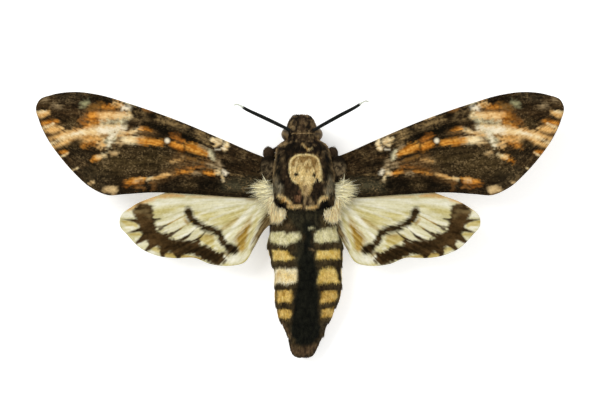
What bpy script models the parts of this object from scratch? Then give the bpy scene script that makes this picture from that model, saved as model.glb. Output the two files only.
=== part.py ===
# A death's-head hawkmoth set with its wings spread, at life size.
# Lengths in this script are millimetres, and mesh_object turns them into metres.
# The moth lies belly down on the floor at z = 0, with its head towards +Y.
# The wings are even about x = 0. The body lies a little to the right of that and bends a little.
import math

import bmesh
import bpy
from mathutils import Vector, geometry

METRES_PER_MM = 0.001
GAP = 0.3
SIDES = {"left": -1, "right": 1}

# The body: where it lies, and the flats that it rests on
AXIS_AT_WAIST = 1.2
AXIS_LEAN = 0.035
ABDOMEN_BEND = 0.4
ABDOMEN_BEND_LENGTH = 24.0
BODY_FACES_ROUND = 28
SQUARENESS = 0.92

# Stations along the body: y, half width, top, bottom, height of the widest place
HEAD_STATIONS = (
    (25.1, 1.5, 8.2, 5.6, 7.0),
    (24.3, 2.5, 9.3, 4.4, 7.1),
    (23.0, 3.2, 10.2, 3.7, 7.2),
    (21.4, 3.7, 10.8, 3.5, 7.3),
    (19.1, 4.0, 10.9, 3.6, 7.4),
)
COLLAR_STATIONS = (
    (18.8, 4.7, 11.2, 3.9, 7.7),
    (18.2, 5.5, 12.2, 3.6, 7.9),
    (17.1, 5.7, 12.4, 3.4, 8.0),
    (16.5, 5.4, 12.0, 3.4, 8.1),
)
THORAX_STATIONS = (
    (16.2, 5.3, 12.0, 3.4, 8.2),
    (14.6, 6.1, 13.3, 3.1, 8.3),
    (12.0, 6.5, 14.0, 2.9, 8.4),
    (9.0, 6.7, 14.0, 2.8, 8.4),
    (6.0, 6.9, 13.2, 2.7, 8.2),
    (4.2, 6.9, 12.4, 2.6, 7.8),
    (3.0, 6.6, 11.8, 2.4, 7.4),
)
ABDOMEN_STATIONS = (
    (2.7, 6.6, 11.4, 2.2, 7.0),
    (0.0, 7.7, 11.7, 0.6, 6.2),
    (-3.8, 8.35, 11.8, -0.5, 5.9),
    (-9.0, 8.1, 11.5, -0.7, 5.8),
    (-14.7, 7.55, 10.8, -0.7, 5.5),
    (-18.4, 6.9, 10.1, -0.6, 5.2),
    (-22.0, 5.7, 9.2, -0.5, 4.8),
    (-25.4, 4.0, 8.0, -0.3, 4.3),
    (-28.4, 3.1, 6.9, 0.2, 4.0),
    (-29.5, 2.3, 6.1, 0.9, 3.8),
    (-30.1, 1.5, 5.4, 1.9, 3.8),
    (-30.4, 0.7, 4.6, 2.9, 3.8),
)
SEGMENT_REAR_EDGES = (-0.6, -5.1, -9.4, -14.2, -18.6, -22.2, -25.4)
SEGMENT_STEP = 0.28
SEGMENT_STEP_LENGTH = 0.7

# Eyes, feelers, mouth parts
EYE_CENTRE = (2.95, 20.85, 7.3)
EYE_RADII = (1.8, 1.7, 2.05)
ANTENNA_PATH = ((2.3, 21.4, 9.0), (3.4, 22.0, 9.5), (9.3, 24.9, 10.3), (12.7, 26.9, 10.6), (14.0, 27.9, 10.6))
ANTENNA_HOOK = ((14.7, 28.3, 10.5), (15.2, 28.1, 10.3))
ANTENNA_RADIUS = 0.43
ANTENNA_TIP_RADIUS = 0.13
PALP_PATH = ((1.35, 21.8, 3.6), (1.5, 23.4, 2.9), (1.45, 24.9, 4.0), (1.3, 25.2, 5.4), (1.15, 24.7, 6.6))
PALP_RADII = (0.7, 1.0, 0.95, 0.8, 0.4)
PROBOSCIS_CENTRE = (22.8, 2.6)
PROBOSCIS_RADIUS = 1.25
PROBOSCIS_PITCH = 0.85
PROBOSCIS_TURNS = 1.6
PROBOSCIS_THICKNESS = 0.26

# The scale-covered lobe over each forewing's root, as a patch raised on the thorax
TEGULA_FRONT = 16.0
TEGULA_REAR = 5.2
TEGULA_INNER_ANGLE = math.radians(70)
TEGULA_OUTER_ANGLE = math.radians(33)
TEGULA_THICKNESS = 1.1
TEGULA_EDGE = 0.5

# The tuft of long pale hair behind each tegula: flat locks that fan out over the wings' roots
TUFT_FRONT = 10.5
TUFT_REAR = 6.3
TUFT_ANGLE = math.radians(24)
TUFT_ROOT_RADIUS = 0.55
TUFT_LOCKS = 9
TUFT_FRONT_LEAN = math.radians(-10)
TUFT_REAR_LEAN = math.radians(-58)
TUFT_LOCK_LENGTH = 4.6
TUFT_LOCK_WIDTH = 1.5
TUFT_LOCK_THICKNESS = 0.62
TUFT_ARCH = 0.45
TUFT_DROP = 1.0
TUFT_LAYER = 0.22

# Legs, on the right side, from the body's own axis: hip, trochanter, knee, ankle, claw
FORE_LEG = ((1.9, 15.0, 4.2), (2.4, 14.2, 1.6), (7.35, 16.5, 6.6), (3.5, 18.9, 1.5), (2.4, 24.0, 0.42))
MID_LEG = ((2.1, 10.8, 3.9), (2.6, 9.7, 1.2), (8.7, 11.0, 4.9), (10.4, 3.8, 1.4), (11.6, -2.6, 0.4))
HIND_LEG = ((2.0, 6.2, 3.9), (2.4, 5.4, 1.2), (7.5, 4.7, 3.4), (7.7, -2.6, 0.85), (7.1, -10.4, 0.4))
LEG_RADII = ((1.0, 0.9), (0.85, 0.8), (0.62, 0.5), (0.4, 0.28))
KNEE_RADII = {"fore": (1.2, 1.65, 1.75), "mid": (0.85, 0.9, 0.9), "hind": (0.85, 0.9, 0.9)}
LEG_FACES_ROUND = 8
SPUR_LENGTH = 1.3
SPUR_RADIUS = 0.22
SPUR_PLACES = {"fore": (), "mid": (0.96,), "hind": (0.62, 0.96)}

# Wings: outlines and veins as seen from above, on the right side, from x = 0
WING_THICKNESS = 0.5
FOREWING_HEIGHT = 9.8
HINDWING_HEIGHT = 8.4
WING_RISE = 0.03
WING_ROOT = 7.0
FOREWING_TWIST = 0.012
HINDWING_DROOP = 0.03
FOREWING_OUTLINE = (
    (4.4, 13.2), (8.7, 15.5), (16.9, 19.3), (27.8, 23.9), (38.7, 27.7), (46.0, 29.8), (51.6, 30.4),
    (56.5, 29.7), (59.2, 28.6), (60.0, 27.0), (59.3, 23.8), (57.3, 19.5), (54.7, 15.8), (51.6, 12.2),
    (47.4, 8.5), (43.6, 6.9), (40.1, 7.1), (34.0, 7.5), (24.0, 7.1), (12.1, 6.3), (4.4, 6.2),
)
HINDWING_OUTLINE = (
    (4.4, 8.3), (14.0, 10.2), (23.0, 9.9), (32.0, 7.0), (38.2, 4.4), (41.0, 1.9), (41.1, 0.0), (39.4, -2.2),
    (36.4, -5.2), (32.6, -6.9), (28.2, -7.5), (24.2, -7.4), (20.6, -8.8), (16.0, -9.25), (12.8, -8.5),
    (10.4, -4.9), (8.0, -0.9), (4.4, 1.9),
)
OUTLINE_STEP = 2.4
VEIN_STEP = 5.0
VEIN_HALF_WIDTH = 0.38
VEIN_HEIGHT = 0.3
# Each vein runs from the root through a few points to its end on the margin
FOREWING_VEINS = {
    "costa": ((4.4, 12.6), (8.8, 14.9), (16.9, 18.7), (27.8, 23.3), (38.7, 27.1), (46.0, 29.2), (51.6, 29.9)),
    "subcosta": ((4.4, 12.2), (14.0, 16.5), (26.0, 21.8), (33.0, 25.2)),
    "radius_1": ((4.4, 11.4), (14.0, 15.4), (24.0, 19.8), (36.0, 25.4), (44.6, 28.9)),
    "radius_2": ((24.0, 19.8), (32.0, 22.6), (42.0, 26.8), (51.0, 29.9)),
    "radius_4": ((32.0, 22.6), (42.0, 25.6), (57.4, 28.9)),
    "radius_5": ((32.0, 22.6), (45.0, 24.6), (59.5, 25.4)),
    "media_1": ((32.0, 22.6), (34.0, 21.2), (45.0, 22.0), (58.4, 21.7)),
    "media_2": ((34.0, 21.2), (34.2, 18.2), (44.0, 18.8), (56.4, 18.1)),
    "media_3": ((34.2, 18.2), (32.8, 16.2), (42.0, 16.0), (54.3, 15.2)),
    "cubitus_1": ((32.8, 16.2), (42.0, 13.8), (51.9, 12.5)),
    "cubitus_2": ((4.4, 10.6), (15.0, 13.2), (25.0, 14.8), (36.0, 12.4), (48.3, 9.2)),
    "cubitus_stem": ((25.0, 14.8), (32.8, 16.2)),
    "anal": ((4.4, 9.4), (12.0, 10.2), (26.0, 10.2), (36.0, 8.9), (43.8, 7.3)),
}
HINDWING_VEINS = {
    "subcosta": ((4.4, 7.6), (14.0, 8.9), (24.0, 7.8), (37.3, 4.6)),
    "radius": ((4.4, 6.9), (12.0, 7.0), (20.0, 5.8), (30.0, 4.2), (40.6, 1.2)),
    "media_1": ((20.0, 5.8), (30.0, 2.2), (39.6, -1.9)),
    "media_2": ((20.0, 5.8), (20.4, 3.8), (29.0, 0.4), (37.0, -4.6)),
    "media_3": ((20.4, 3.8), (18.8, 2.0), (26.0, -2.2), (33.4, -6.5)),
    "cubitus_1": ((4.4, 5.9), (11.0, 4.8), (18.8, 2.0), (23.0, -2.4), (28.8, -7.3)),
    "cubitus_2": ((11.0, 4.8), (16.0, 0.6), (21.0, -4.6), (23.8, -7.3)),
    "anal_1": ((4.4, 4.6), (10.0, 2.4), (14.6, -3.6), (18.4, -8.9)),
    "anal_2": ((4.4, 3.6), (8.6, 1.2), (12.2, -4.6), (14.2, -8.9)),
}

# Colours as red, green, blue, then roughness
FINISHES = {
    "body_fur": (0.035, 0.028, 0.022, 0.9),
    "collar_fur": (0.06, 0.045, 0.03, 0.9),
    "abdomen_fur": (0.42, 0.28, 0.10, 0.85),
    "forewing_scales": (0.06, 0.04, 0.022, 0.7),
    "hindwing_scales": (0.66, 0.56, 0.30, 0.7),
    "pale_hair": (0.72, 0.66, 0.46, 0.8),
    "antenna_shell": (0.012, 0.011, 0.01, 0.5),
    "eye_shell": (0.03, 0.02, 0.015, 0.2),
    "leg_fur": (0.05, 0.035, 0.025, 0.85),
}


# Scene and mesh helpers
def clear_scene():
    for thing in list(bpy.data.objects):
        bpy.data.objects.remove(thing, do_unlink=True)


def make_material(name):
    red, green, blue, roughness = FINISHES[name]
    material = bpy.data.materials.new(name)
    material.use_nodes = True
    shader = material.node_tree.nodes["Principled BSDF"]
    shader.inputs["Base Color"].default_value = (red, green, blue, 1.0)
    shader.inputs["Roughness"].default_value = roughness
    shader.inputs["Metallic"].default_value = 0.0
    material.diffuse_color = (red, green, blue, 1.0)
    return material


def mesh_object(name, points, faces, material):
    """An object from points in millimetres, with its faces turned outwards."""
    mesh = bpy.data.meshes.new(name)
    mesh.from_pydata([tuple(c * METRES_PER_MM for c in p) for p in points], [], faces)
    shape = bmesh.new()
    shape.from_mesh(mesh)
    bmesh.ops.recalc_face_normals(shape, faces=shape.faces)
    shape.to_mesh(mesh)
    shape.free()
    mesh.materials.append(material)
    thing = bpy.data.objects.new(name, mesh)
    bpy.context.scene.collection.objects.link(thing)
    return thing


def smooth(thing):
    thing.data.shade_smooth()
    thing.data.set_sharp_from_angle(angle=math.radians(40))
    return thing


def join_or_cut(thing, others, operation):
    """One Boolean of a collection of closed pieces, applied, after which the pieces are removed."""
    group = bpy.data.collections.new("pieces")
    bpy.context.scene.collection.children.link(group)
    for other in others:
        group.objects.link(other)
    boolean = thing.modifiers.new("join or cut", "BOOLEAN")
    boolean.operation = operation
    boolean.operand_type = "COLLECTION"
    boolean.collection = group
    boolean.solver = "MANIFOLD"
    bpy.context.view_layer.update()
    seen = thing.evaluated_get(bpy.context.evaluated_depsgraph_get())
    result = bpy.data.meshes.new_from_object(seen)
    thing.modifiers.clear()
    thing.data = result
    for other in others:
        bpy.data.objects.remove(other, do_unlink=True)
    bpy.data.collections.remove(group)
    keep_largest(thing)
    return thing


def keep_largest(thing):
    """Drops every closed surface of an object but the one with most volume."""
    shape = bmesh.new()
    shape.from_mesh(thing.data)
    unseen = set(shape.verts)
    shells = []
    while unseen:
        shell = set()
        front = [unseen.pop()]
        while front:
            vertex = front.pop()
            shell.add(vertex)
            near = [edge.other_vert(vertex) for edge in vertex.link_edges]
            front += [v for v in near if v in unseen]
            unseen.difference_update(near)
        faces = {face for vertex in shell for face in vertex.link_faces}
        volume = 0.0
        for face in faces:
            corners = [v.co for v in face.verts]
            for a, b in zip(corners[1:], corners[2:]):
                volume += corners[0].dot(a.cross(b))
        shells.append((volume, shell))
    shells.sort(key=lambda found: found[0])
    spare = [vertex for _, shell in shells[:-1] for vertex in shell]
    bmesh.ops.delete(shape, geom=spare, context="VERTS")
    shape.to_mesh(thing.data)
    shape.free()


def loft(name, rings, material):
    """A closed solid through rings of as many points each, with flat ends."""
    count = len(rings[0])
    points = [p for ring in rings for p in ring]
    faces = [list(range(count)), list(range(len(points) - count, len(points)))[::-1]]
    for row in range(len(rings) - 1):
        for k in range(count):
            here, after = row * count + k, row * count + (k + 1) % count
            faces.append((here, after, after + count, here + count))
    return mesh_object(name, points, faces, material)


def spline(points, places):
    """Points on a smooth curve through the given ones, at places counted in whole steps between them."""
    found = []
    last = len(points) - 1
    for place in places:
        i = min(int(place), last - 1)
        t = place - i
        before, a = Vector(points[max(i - 1, 0)]), Vector(points[i])
        b, after = Vector(points[i + 1]), Vector(points[min(i + 2, last)])
        slope_a, slope_b = (b - before) / 2, (after - a) / 2
        curve = (
            a * (2 * t**3 - 3 * t**2 + 1)
            + slope_a * (t**3 - 2 * t**2 + t)
            + b * (3 * t**2 - 2 * t**3)
            + slope_b * (t**3 - t**2)
        )
        found.append(curve)
    return found


def even_curve(points, step):
    """A smooth curve through the points, cut into runs of about one step, which meet at each given point."""
    found = []
    for i in range(len(points) - 1):
        length = (Vector(points[i + 1]) - Vector(points[i])).length
        runs = max(1, round(length / step))
        found += spline(points, [i + k / runs for k in range(runs)])
    return found + [Vector(points[-1])]


def tube(name, path, radii, faces_round, material):
    """A closed tube along a path, with a radius for each of its points."""
    turn = None
    rings = []
    for i, place in enumerate(path):
        ahead = (path[min(i + 1, len(path) - 1)] - path[max(i - 1, 0)]).normalized()
        if turn is None:
            turn = ahead.orthogonal().normalized()
        turn = (turn - ahead * turn.dot(ahead)).normalized()
        across = ahead.cross(turn)
        angles = [2 * math.pi * k / faces_round for k in range(faces_round)]
        rings.append([place + (turn * math.cos(a) + across * math.sin(a)) * radii[i] for a in angles])
    return loft(name, rings, material)


def ellipsoid(name, centre, radii, columns, rows, material):
    """A closed ball with its poles above and below."""
    points = []
    for row in range(1, rows):
        polar = math.pi * row / rows
        for k in range(columns):
            angle = 2 * math.pi * k / columns
            unit = (math.sin(polar) * math.cos(angle), math.sin(polar) * math.sin(angle), math.cos(polar))
            points.append(tuple(c + r * u for c, r, u in zip(centre, radii, unit)))
    faces = []
    for row in range(rows - 2):
        for k in range(columns):
            here, after = row * columns + k, row * columns + (k + 1) % columns
            faces.append((here, after, after + columns, here + columns))
    top, bottom = len(points), len(points) + 1
    points.append((centre[0], centre[1], centre[2] + radii[2]))
    points.append((centre[0], centre[1], centre[2] - radii[2]))
    base = (rows - 2) * columns
    for k in range(columns):
        faces.append((top, k, (k + 1) % columns))
        faces.append((bottom, base + k, base + (k + 1) % columns))
    return mesh_object(name, points, faces, material)


# The body's shape
def axis_x(y):
    """How far right of x = 0 the body's middle lies."""
    if y > 0:
        return AXIS_AT_WAIST - AXIS_LEAN * y
    return AXIS_AT_WAIST + ABDOMEN_BEND * math.sin(math.pi * min(-y / ABDOMEN_BEND_LENGTH, 1.0))


def station_at(stations, y):
    """Half width, top, bottom and level at a place along the body, read from its stations."""
    places = [s[0] for s in stations]
    y = min(max(y, places[-1]), places[0])
    i = next(k for k in range(len(places) - 1) if places[k + 1] <= y)
    part = (places[i] - y) / (places[i] - places[i + 1])
    return spline([s[1:] for s in stations], [i + part])[0]


def body_point(stations, y, angle, grow=0.0):
    """A point on the body's surface. Angle 0 is the right side, and 90 degrees is the back."""
    half, top, bottom, level = station_at(stations, y)
    cosine, sine = math.cos(angle), math.sin(angle)
    height = top - level if sine > 0 else level - bottom
    x = axis_x(y) + (half + grow) * math.copysign(abs(cosine) ** SQUARENESS, cosine)
    z = level + (height + grow) * math.copysign(abs(sine) ** SQUARENESS, sine)
    return (x, y, max(z, 0.0))


def body_solid(name, stations, places, material, grow_at=lambda y: 0.0):
    angles = [2 * math.pi * k / BODY_FACES_ROUND for k in range(BODY_FACES_ROUND)]
    rings = [[body_point(stations, y, a, grow_at(y)) for a in angles] for y in places]
    return loft(name, rings, material)


def places_between(stations, count):
    front, rear = stations[0][0], stations[-1][0]
    return [front + (rear - front) * k / count for k in range(count + 1)]


def cutter(stations, count, grow=GAP):
    """The same part of the body, larger by the gap, for cutting what grows from it or lies beside it."""
    places = places_between(stations, count)
    places[0] += GAP
    places[-1] -= GAP
    return body_solid("cutter", stations, places, bpy.data.materials["body_fur"], lambda y: grow)


def build_abdomen():
    """Seven rings of plates and a tip. Each plate's rear edge stands over the next."""
    places = [ABDOMEN_STATIONS[0][0]]
    raised = {places[0]: 0.0}
    for rear in SEGMENT_REAR_EDGES:
        front = places[-1]
        for part in (0.35, 0.7):
            place = front + (rear - front) * part
            places.append(place)
            raised[place] = SEGMENT_STEP * (part - 0.35) * 0.5
        places += [rear, rear - SEGMENT_STEP_LENGTH]
        raised[rear] = SEGMENT_STEP
        raised[rear - SEGMENT_STEP_LENGTH] = -SEGMENT_STEP / 2
    for y in (-27.2, -28.6, -29.5, -30.1, -30.4):
        places.append(y)
        raised[y] = 0.0
    fur = bpy.data.materials["abdomen_fur"]
    return smooth(body_solid("abdomen", ABDOMEN_STATIONS, places, fur, lambda y: raised[y]))


def build_head():
    """The head, with a socket for each eye."""
    head = body_solid("head", HEAD_STATIONS, places_between(HEAD_STATIONS, 8), bpy.data.materials["collar_fur"])
    sockets = []
    for side in SIDES.values():
        centre = (axis_x(EYE_CENTRE[1]) + side * EYE_CENTRE[0], EYE_CENTRE[1], EYE_CENTRE[2])
        radii = [r + GAP for r in EYE_RADII]
        sockets.append(ellipsoid("socket", centre, radii, 16, 12, bpy.data.materials["eye_shell"]))
    return smooth(join_or_cut(head, sockets, "DIFFERENCE"))


def build_eye(name, side):
    centre = (axis_x(EYE_CENTRE[1]) + side * EYE_CENTRE[0], EYE_CENTRE[1], EYE_CENTRE[2])
    return smooth(ellipsoid(name, centre, EYE_RADII, 16, 12, bpy.data.materials["eye_shell"]))


def from_axis(place, side):
    """A place given on the right side from the body's axis, moved to where the body lies."""
    x, y, z = place
    return Vector((axis_x(y) + side * x, y, z))


def build_antenna(name, side):
    """A stout feeler that ends in a thin hook."""
    shaft = [from_axis(p, side) for p in ANTENNA_PATH]
    hook = [from_axis(p, side) for p in ANTENNA_HOOK]
    path = even_curve(shaft + hook, 1.6)
    bend = shaft[-2]
    radii = []
    for i, place in enumerate(path):
        along = i / (len(path) - 1)
        past = max(0.0, (place - shaft[0]).length - (bend - shaft[0]).length)
        swell = 0.8 + 0.2 * math.sin(math.pi * min(along * 1.1, 1.0))
        fade = min(past / 2.0, 1.0)
        radii.append(ANTENNA_RADIUS * swell * (1 - fade) + ANTENNA_TIP_RADIUS * fade)
    feeler = tube(name, path, radii, 10, bpy.data.materials["antenna_shell"])
    return smooth(join_or_cut(feeler, [cutter(HEAD_STATIONS, 8)], "DIFFERENCE"))


def build_palp(name, side):
    """One of the two furry palps that curl up in front of the mouth."""
    path = [from_axis(p, side) for p in PALP_PATH]
    places = [k / 2 for k in range(2 * len(path) - 1)]
    radii = [r[0] for r in spline([(r, 0.0) for r in PALP_RADII], places)]
    palp = tube(name, spline(path, places), radii, 10, bpy.data.materials["collar_fur"])
    return smooth(join_or_cut(palp, [cutter(HEAD_STATIONS, 8)], "DIFFERENCE"))


def build_proboscis():
    """The short, stout tongue, rolled up between the palps."""
    steps = 22
    path = []
    for k in range(steps + 1):
        turned = 2 * math.pi * PROBOSCIS_TURNS * k / steps
        radius = PROBOSCIS_RADIUS + 0.2 - PROBOSCIS_PITCH * turned / (2 * math.pi)
        y = PROBOSCIS_CENTRE[0] - radius * math.cos(turned)
        z = PROBOSCIS_CENTRE[1] + radius * math.sin(turned)
        path.append(Vector((axis_x(y), y, z)))
    radii = [PROBOSCIS_THICKNESS + 0.04 * (1 - k / steps) for k in range(steps + 1)]
    tongue = tube("proboscis", path, radii, 8, bpy.data.materials["antenna_shell"])
    return smooth(join_or_cut(tongue, [cutter(HEAD_STATIONS, 8)], "DIFFERENCE"))


def build_tegula(name, side):
    """A lobe raised on the thorax over the forewing's root, thick in the middle and thin at its edge."""
    rows, columns = 9, 6
    upper, lower = [], []
    for row in range(rows + 1):
        along = row / rows
        y = TEGULA_FRONT + (TEGULA_REAR - TEGULA_FRONT) * along
        width = math.sin(math.pi * (0.12 + 0.8 * along)) ** 0.6
        middle = (TEGULA_INNER_ANGLE + TEGULA_OUTER_ANGLE) / 2 - math.radians(4) * along
        spread = (TEGULA_INNER_ANGLE - TEGULA_OUTER_ANGLE) / 2 * width
        for column in range(columns + 1):
            across = 2 * column / columns - 1
            angle = middle + spread * across
            if side < 0:
                angle = math.pi - angle
            rise = math.sqrt(max(0.0, 1 - across**2)) * math.sin(math.pi * (0.1 + 0.8 * along)) ** 0.5
            thick = TEGULA_EDGE + (TEGULA_THICKNESS - TEGULA_EDGE) * rise
            upper.append(body_point(THORAX_STATIONS, y, angle, GAP + thick))
            lower.append(body_point(THORAX_STATIONS, y, angle, GAP))
    stride, sheet = columns + 1, (rows + 1) * (columns + 1)
    faces = []
    for row in range(rows):
        for column in range(columns):
            a = row * stride + column
            quad = (a, a + 1, a + 1 + stride, a + stride)
            faces.append(quad)
            faces.append(tuple(sheet + k for k in reversed(quad)))
    rim = list(range(columns)) + [r * stride + columns for r in range(rows)]
    rim += [rows * stride + c for c in range(columns, 0, -1)] + [r * stride for r in range(rows, 0, -1)]
    for a, b in zip(rim, rim[1:] + rim[:1]):
        faces.append((a, b, b + sheet, a + sheet))
    return smooth(mesh_object(name, upper + lower, faces, bpy.data.materials["body_fur"]))


def lock(path, width, thickness, material):
    """A flat lock of hair, widest before its middle, that tapers to a thin tip."""
    shares = (0.55, 1.0, 0.95, 0.65, 0.16)
    rings = []
    for i, place in enumerate(path):
        ahead = (path[min(i + 1, len(path) - 1)] - path[max(i - 1, 0)]).normalized()
        across = ahead.cross(Vector((0.0, 0.0, 1.0))).normalized()
        up = across.cross(ahead)
        wide, thick = width / 2 * shares[i], thickness / 2 * (0.5 + 0.5 * shares[i])
        corners = ((-1, 0), (-0.5, 1), (0.5, 1), (1, 0), (0.5, -1), (-0.5, -1))
        rings.append([place + across * wide * a + up * thick * b for a, b in corners])
    return loft("lock", rings, material)


def build_wing_tuft(name, side):
    """Pale locks that grow from one root along the thorax and lie over the roots of both wings."""
    material = bpy.data.materials["pale_hair"]
    angle = TUFT_ANGLE if side > 0 else math.pi - TUFT_ANGLE
    rise = GAP + TUFT_ROOT_RADIUS
    along = [TUFT_FRONT + (TUFT_REAR - TUFT_FRONT) * k / (TUFT_LOCKS - 1) for k in range(TUFT_LOCKS)]
    roots = [Vector(body_point(THORAX_STATIONS, y, angle, rise)) for y in along]
    tuft = tube(name, roots, [TUFT_ROOT_RADIUS] * TUFT_LOCKS, 8, material)
    locks = []
    for k, root in enumerate(roots):
        part = k / (TUFT_LOCKS - 1)
        lean = TUFT_FRONT_LEAN + (TUFT_REAR_LEAN - TUFT_FRONT_LEAN) * part
        length = TUFT_LOCK_LENGTH * (1.0 + 0.12 * math.sin(2.3 * k))
        path = []
        for step in range(5):
            out = step / 4
            turn = lean - 0.25 * out
            level = TUFT_LAYER * (k % 2) + TUFT_ARCH * math.sin(math.pi * out) - TUFT_DROP * part**2 * out**2
            path.append(root + Vector((side * math.cos(turn), math.sin(turn), 0.0)) * length * out)
            path[-1].z += level
        locks.append(lock(path, TUFT_LOCK_WIDTH, TUFT_LOCK_THICKNESS, material))
    join_or_cut(tuft, locks, "UNION")
    return smooth(join_or_cut(tuft, [cutter(THORAX_STATIONS, 10)], "DIFFERENCE"))


# Legs
def limb(a, b, radius_a, radius_b, material):
    """A straight, slightly swollen piece of a leg with blunt ends, flat where it would pass the floor."""
    parts = (-0.04, 0.04, 0.35, 0.7, 0.96, 1.04)
    shares = (0.55, 0.95, 1.12, 1.05, 0.95, 0.55)
    path = [a + (b - a) * part for part in parts]
    radii = [(radius_a + (radius_b - radius_a) * p) * s for p, s in zip(parts, shares)]
    piece = tube("limb", path, radii, LEG_FACES_ROUND, material)
    for vertex in piece.data.vertices:
        vertex.co.z = max(vertex.co.z, 0.0)
    return piece


def build_leg(name, kind, joints, side):
    """Hip, thigh, shin and foot in one piece, with spurs on the shin, folded under the thorax."""
    material = bpy.data.materials["leg_fur"]
    places = [from_axis(p, side) for p in joints]
    pieces = [limb(a, b, ra, rb, material) for a, b, (ra, rb) in zip(places, places[1:], LEG_RADII)]
    pieces.append(ellipsoid("knee", tuple(places[2]), KNEE_RADII[kind], 12, 8, material))
    knee, ankle = places[2], places[3]
    for part in SPUR_PLACES[kind]:
        root = knee + (ankle - knee) * part
        for lean in (-1, 1):
            way = (ankle - knee).normalized() + Vector((0.55 * lean, 0.0, 0.0))
            spur = [root, root + way * SPUR_LENGTH * 0.5, root + way * SPUR_LENGTH]
            pieces.append(tube("spur", spur, (SPUR_RADIUS, SPUR_RADIUS * 0.7, SPUR_RADIUS * 0.3), 5, material))
            for vertex in pieces[-1].data.vertices:
                vertex.co.z = max(vertex.co.z, 0.0)
    leg = pieces.pop(0)
    leg.name = name
    join_or_cut(leg, pieces, "UNION")
    return smooth(join_or_cut(leg, [cutter(THORAX_STATIONS, 10), cutter(COLLAR_STATIONS, 4)], "DIFFERENCE"))


# Wings
def forewing_height(x, y):
    return FOREWING_HEIGHT + WING_RISE * (x - WING_ROOT) + FOREWING_TWIST * (y - 16.0)


def hindwing_height(x, y):
    return HINDWING_HEIGHT + WING_RISE * (x - WING_ROOT) - HINDWING_DROOP * (WING_ROOT - min(y, WING_ROOT))


def vein_lines(veins):
    """For each vein its crest, with the share of its full width and height at each point."""
    lines = []
    for points in veins.values():
        crest = even_curve(points, VEIN_STEP)
        last = len(crest) - 1
        lines.append([(place, 1.0 - 0.75 * (i / last) ** 2 if i < last else 0.0) for i, place in enumerate(crest)])
    return lines


def ridge_at(place, lines):
    """How far the wing's surface is raised by the veins near a place."""
    best = 0.0
    for line in lines:
        for (a, share_a), (b, share_b) in zip(line, line[1:]):
            run = b - a
            part = min(max((place - a).dot(run) / run.length_squared, 0.0), 1.0)
            share = share_a + (share_b - share_a) * part
            away = (place - (a + run * part)).length
            if share > 0 and away < VEIN_HALF_WIDTH * share:
                best = max(best, VEIN_HEIGHT * share * (1 - away / (VEIN_HALF_WIDTH * share)))
    return best


def build_wing(name, side, outline, veins, height_at, material_name, cutters):
    """A membrane of one thickness whose veins are raised in its own surface, cut clear of the thorax."""
    margin = even_curve(outline, OUTLINE_STEP)
    flat = [Vector(p) for p in margin]
    edges = []
    lines = vein_lines(veins)
    for line in lines:
        for shift in (-1, 0, 1):
            start = len(flat)
            for i, (place, share) in enumerate(line[:-1]):
                run = (line[i + 1][0] - line[max(i - 1, 0)][0]).normalized()
                flat.append(place + Vector((-run.y, run.x)) * VEIN_HALF_WIDTH * share * shift)
            edges += [(k, k + 1) for k in range(start, len(flat) - 1)]
    around = [list(range(len(margin)))]
    corners, _, triangles, _, _, _ = geometry.delaunay_2d_cdt(flat, edges, around, 1, 0.02)
    upper, lower = [], []
    half = WING_THICKNESS / 2
    for corner in corners:
        middle, ridge = height_at(corner.x, corner.y), ridge_at(corner, lines)
        upper.append((side * corner.x, corner.y, middle + half + ridge))
        lower.append((side * corner.x, corner.y, middle - half - ridge / 2))
    count = len(corners)
    faces = [tuple(t) for t in triangles] + [tuple(count + k for k in reversed(t)) for t in triangles]
    used = {}
    for triangle in triangles:
        for a, b in zip(triangle, triangle[1:] + triangle[:1]):
            used[(a, b)] = True
    faces += [(b, a, a + count, b + count) for a, b in used if (b, a) not in used]
    wing = mesh_object(name, upper + lower, faces, bpy.data.materials[material_name])
    return join_or_cut(wing, cutters, "DIFFERENCE")


def build_body():
    body_fur, collar_fur = bpy.data.materials["body_fur"], bpy.data.materials["collar_fur"]
    smooth(body_solid("thorax", THORAX_STATIONS, places_between(THORAX_STATIONS, 10), body_fur))
    smooth(body_solid("collar", COLLAR_STATIONS, places_between(COLLAR_STATIONS, 4), collar_fur))
    build_abdomen()
    build_head()
    build_proboscis()
    for word, side in SIDES.items():
        build_eye(f"eye_{word}", side)
        build_antenna(f"antenna_{word}", side)
        build_palp(f"palp_{word}", side)
        build_tegula(f"tegula_{word}", side)
        build_wing_tuft(f"wing_tuft_{word}", side)


def build_limbs():
    for word, side in SIDES.items():
        build_leg(f"foreleg_{word}", "fore", FORE_LEG, side)
        build_leg(f"midleg_{word}", "mid", MID_LEG, side)
        build_leg(f"hindleg_{word}", "hind", HIND_LEG, side)
        for name, outline, veins, height_at, scales in (
            (f"forewing_{word}", FOREWING_OUTLINE, FOREWING_VEINS, forewing_height, "forewing_scales"),
            (f"hindwing_{word}", HINDWING_OUTLINE, HINDWING_VEINS, hindwing_height, "hindwing_scales"),
        ):
            beside = [cutter(THORAX_STATIONS, 10), cutter(ABDOMEN_STATIONS, 16, GAP + SEGMENT_STEP)]
            build_wing(name, side, outline, veins, height_at, scales, beside)


clear_scene()
for finish in FINISHES:
    make_material(finish)
build_body()
build_limbs()
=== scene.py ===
import math

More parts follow.
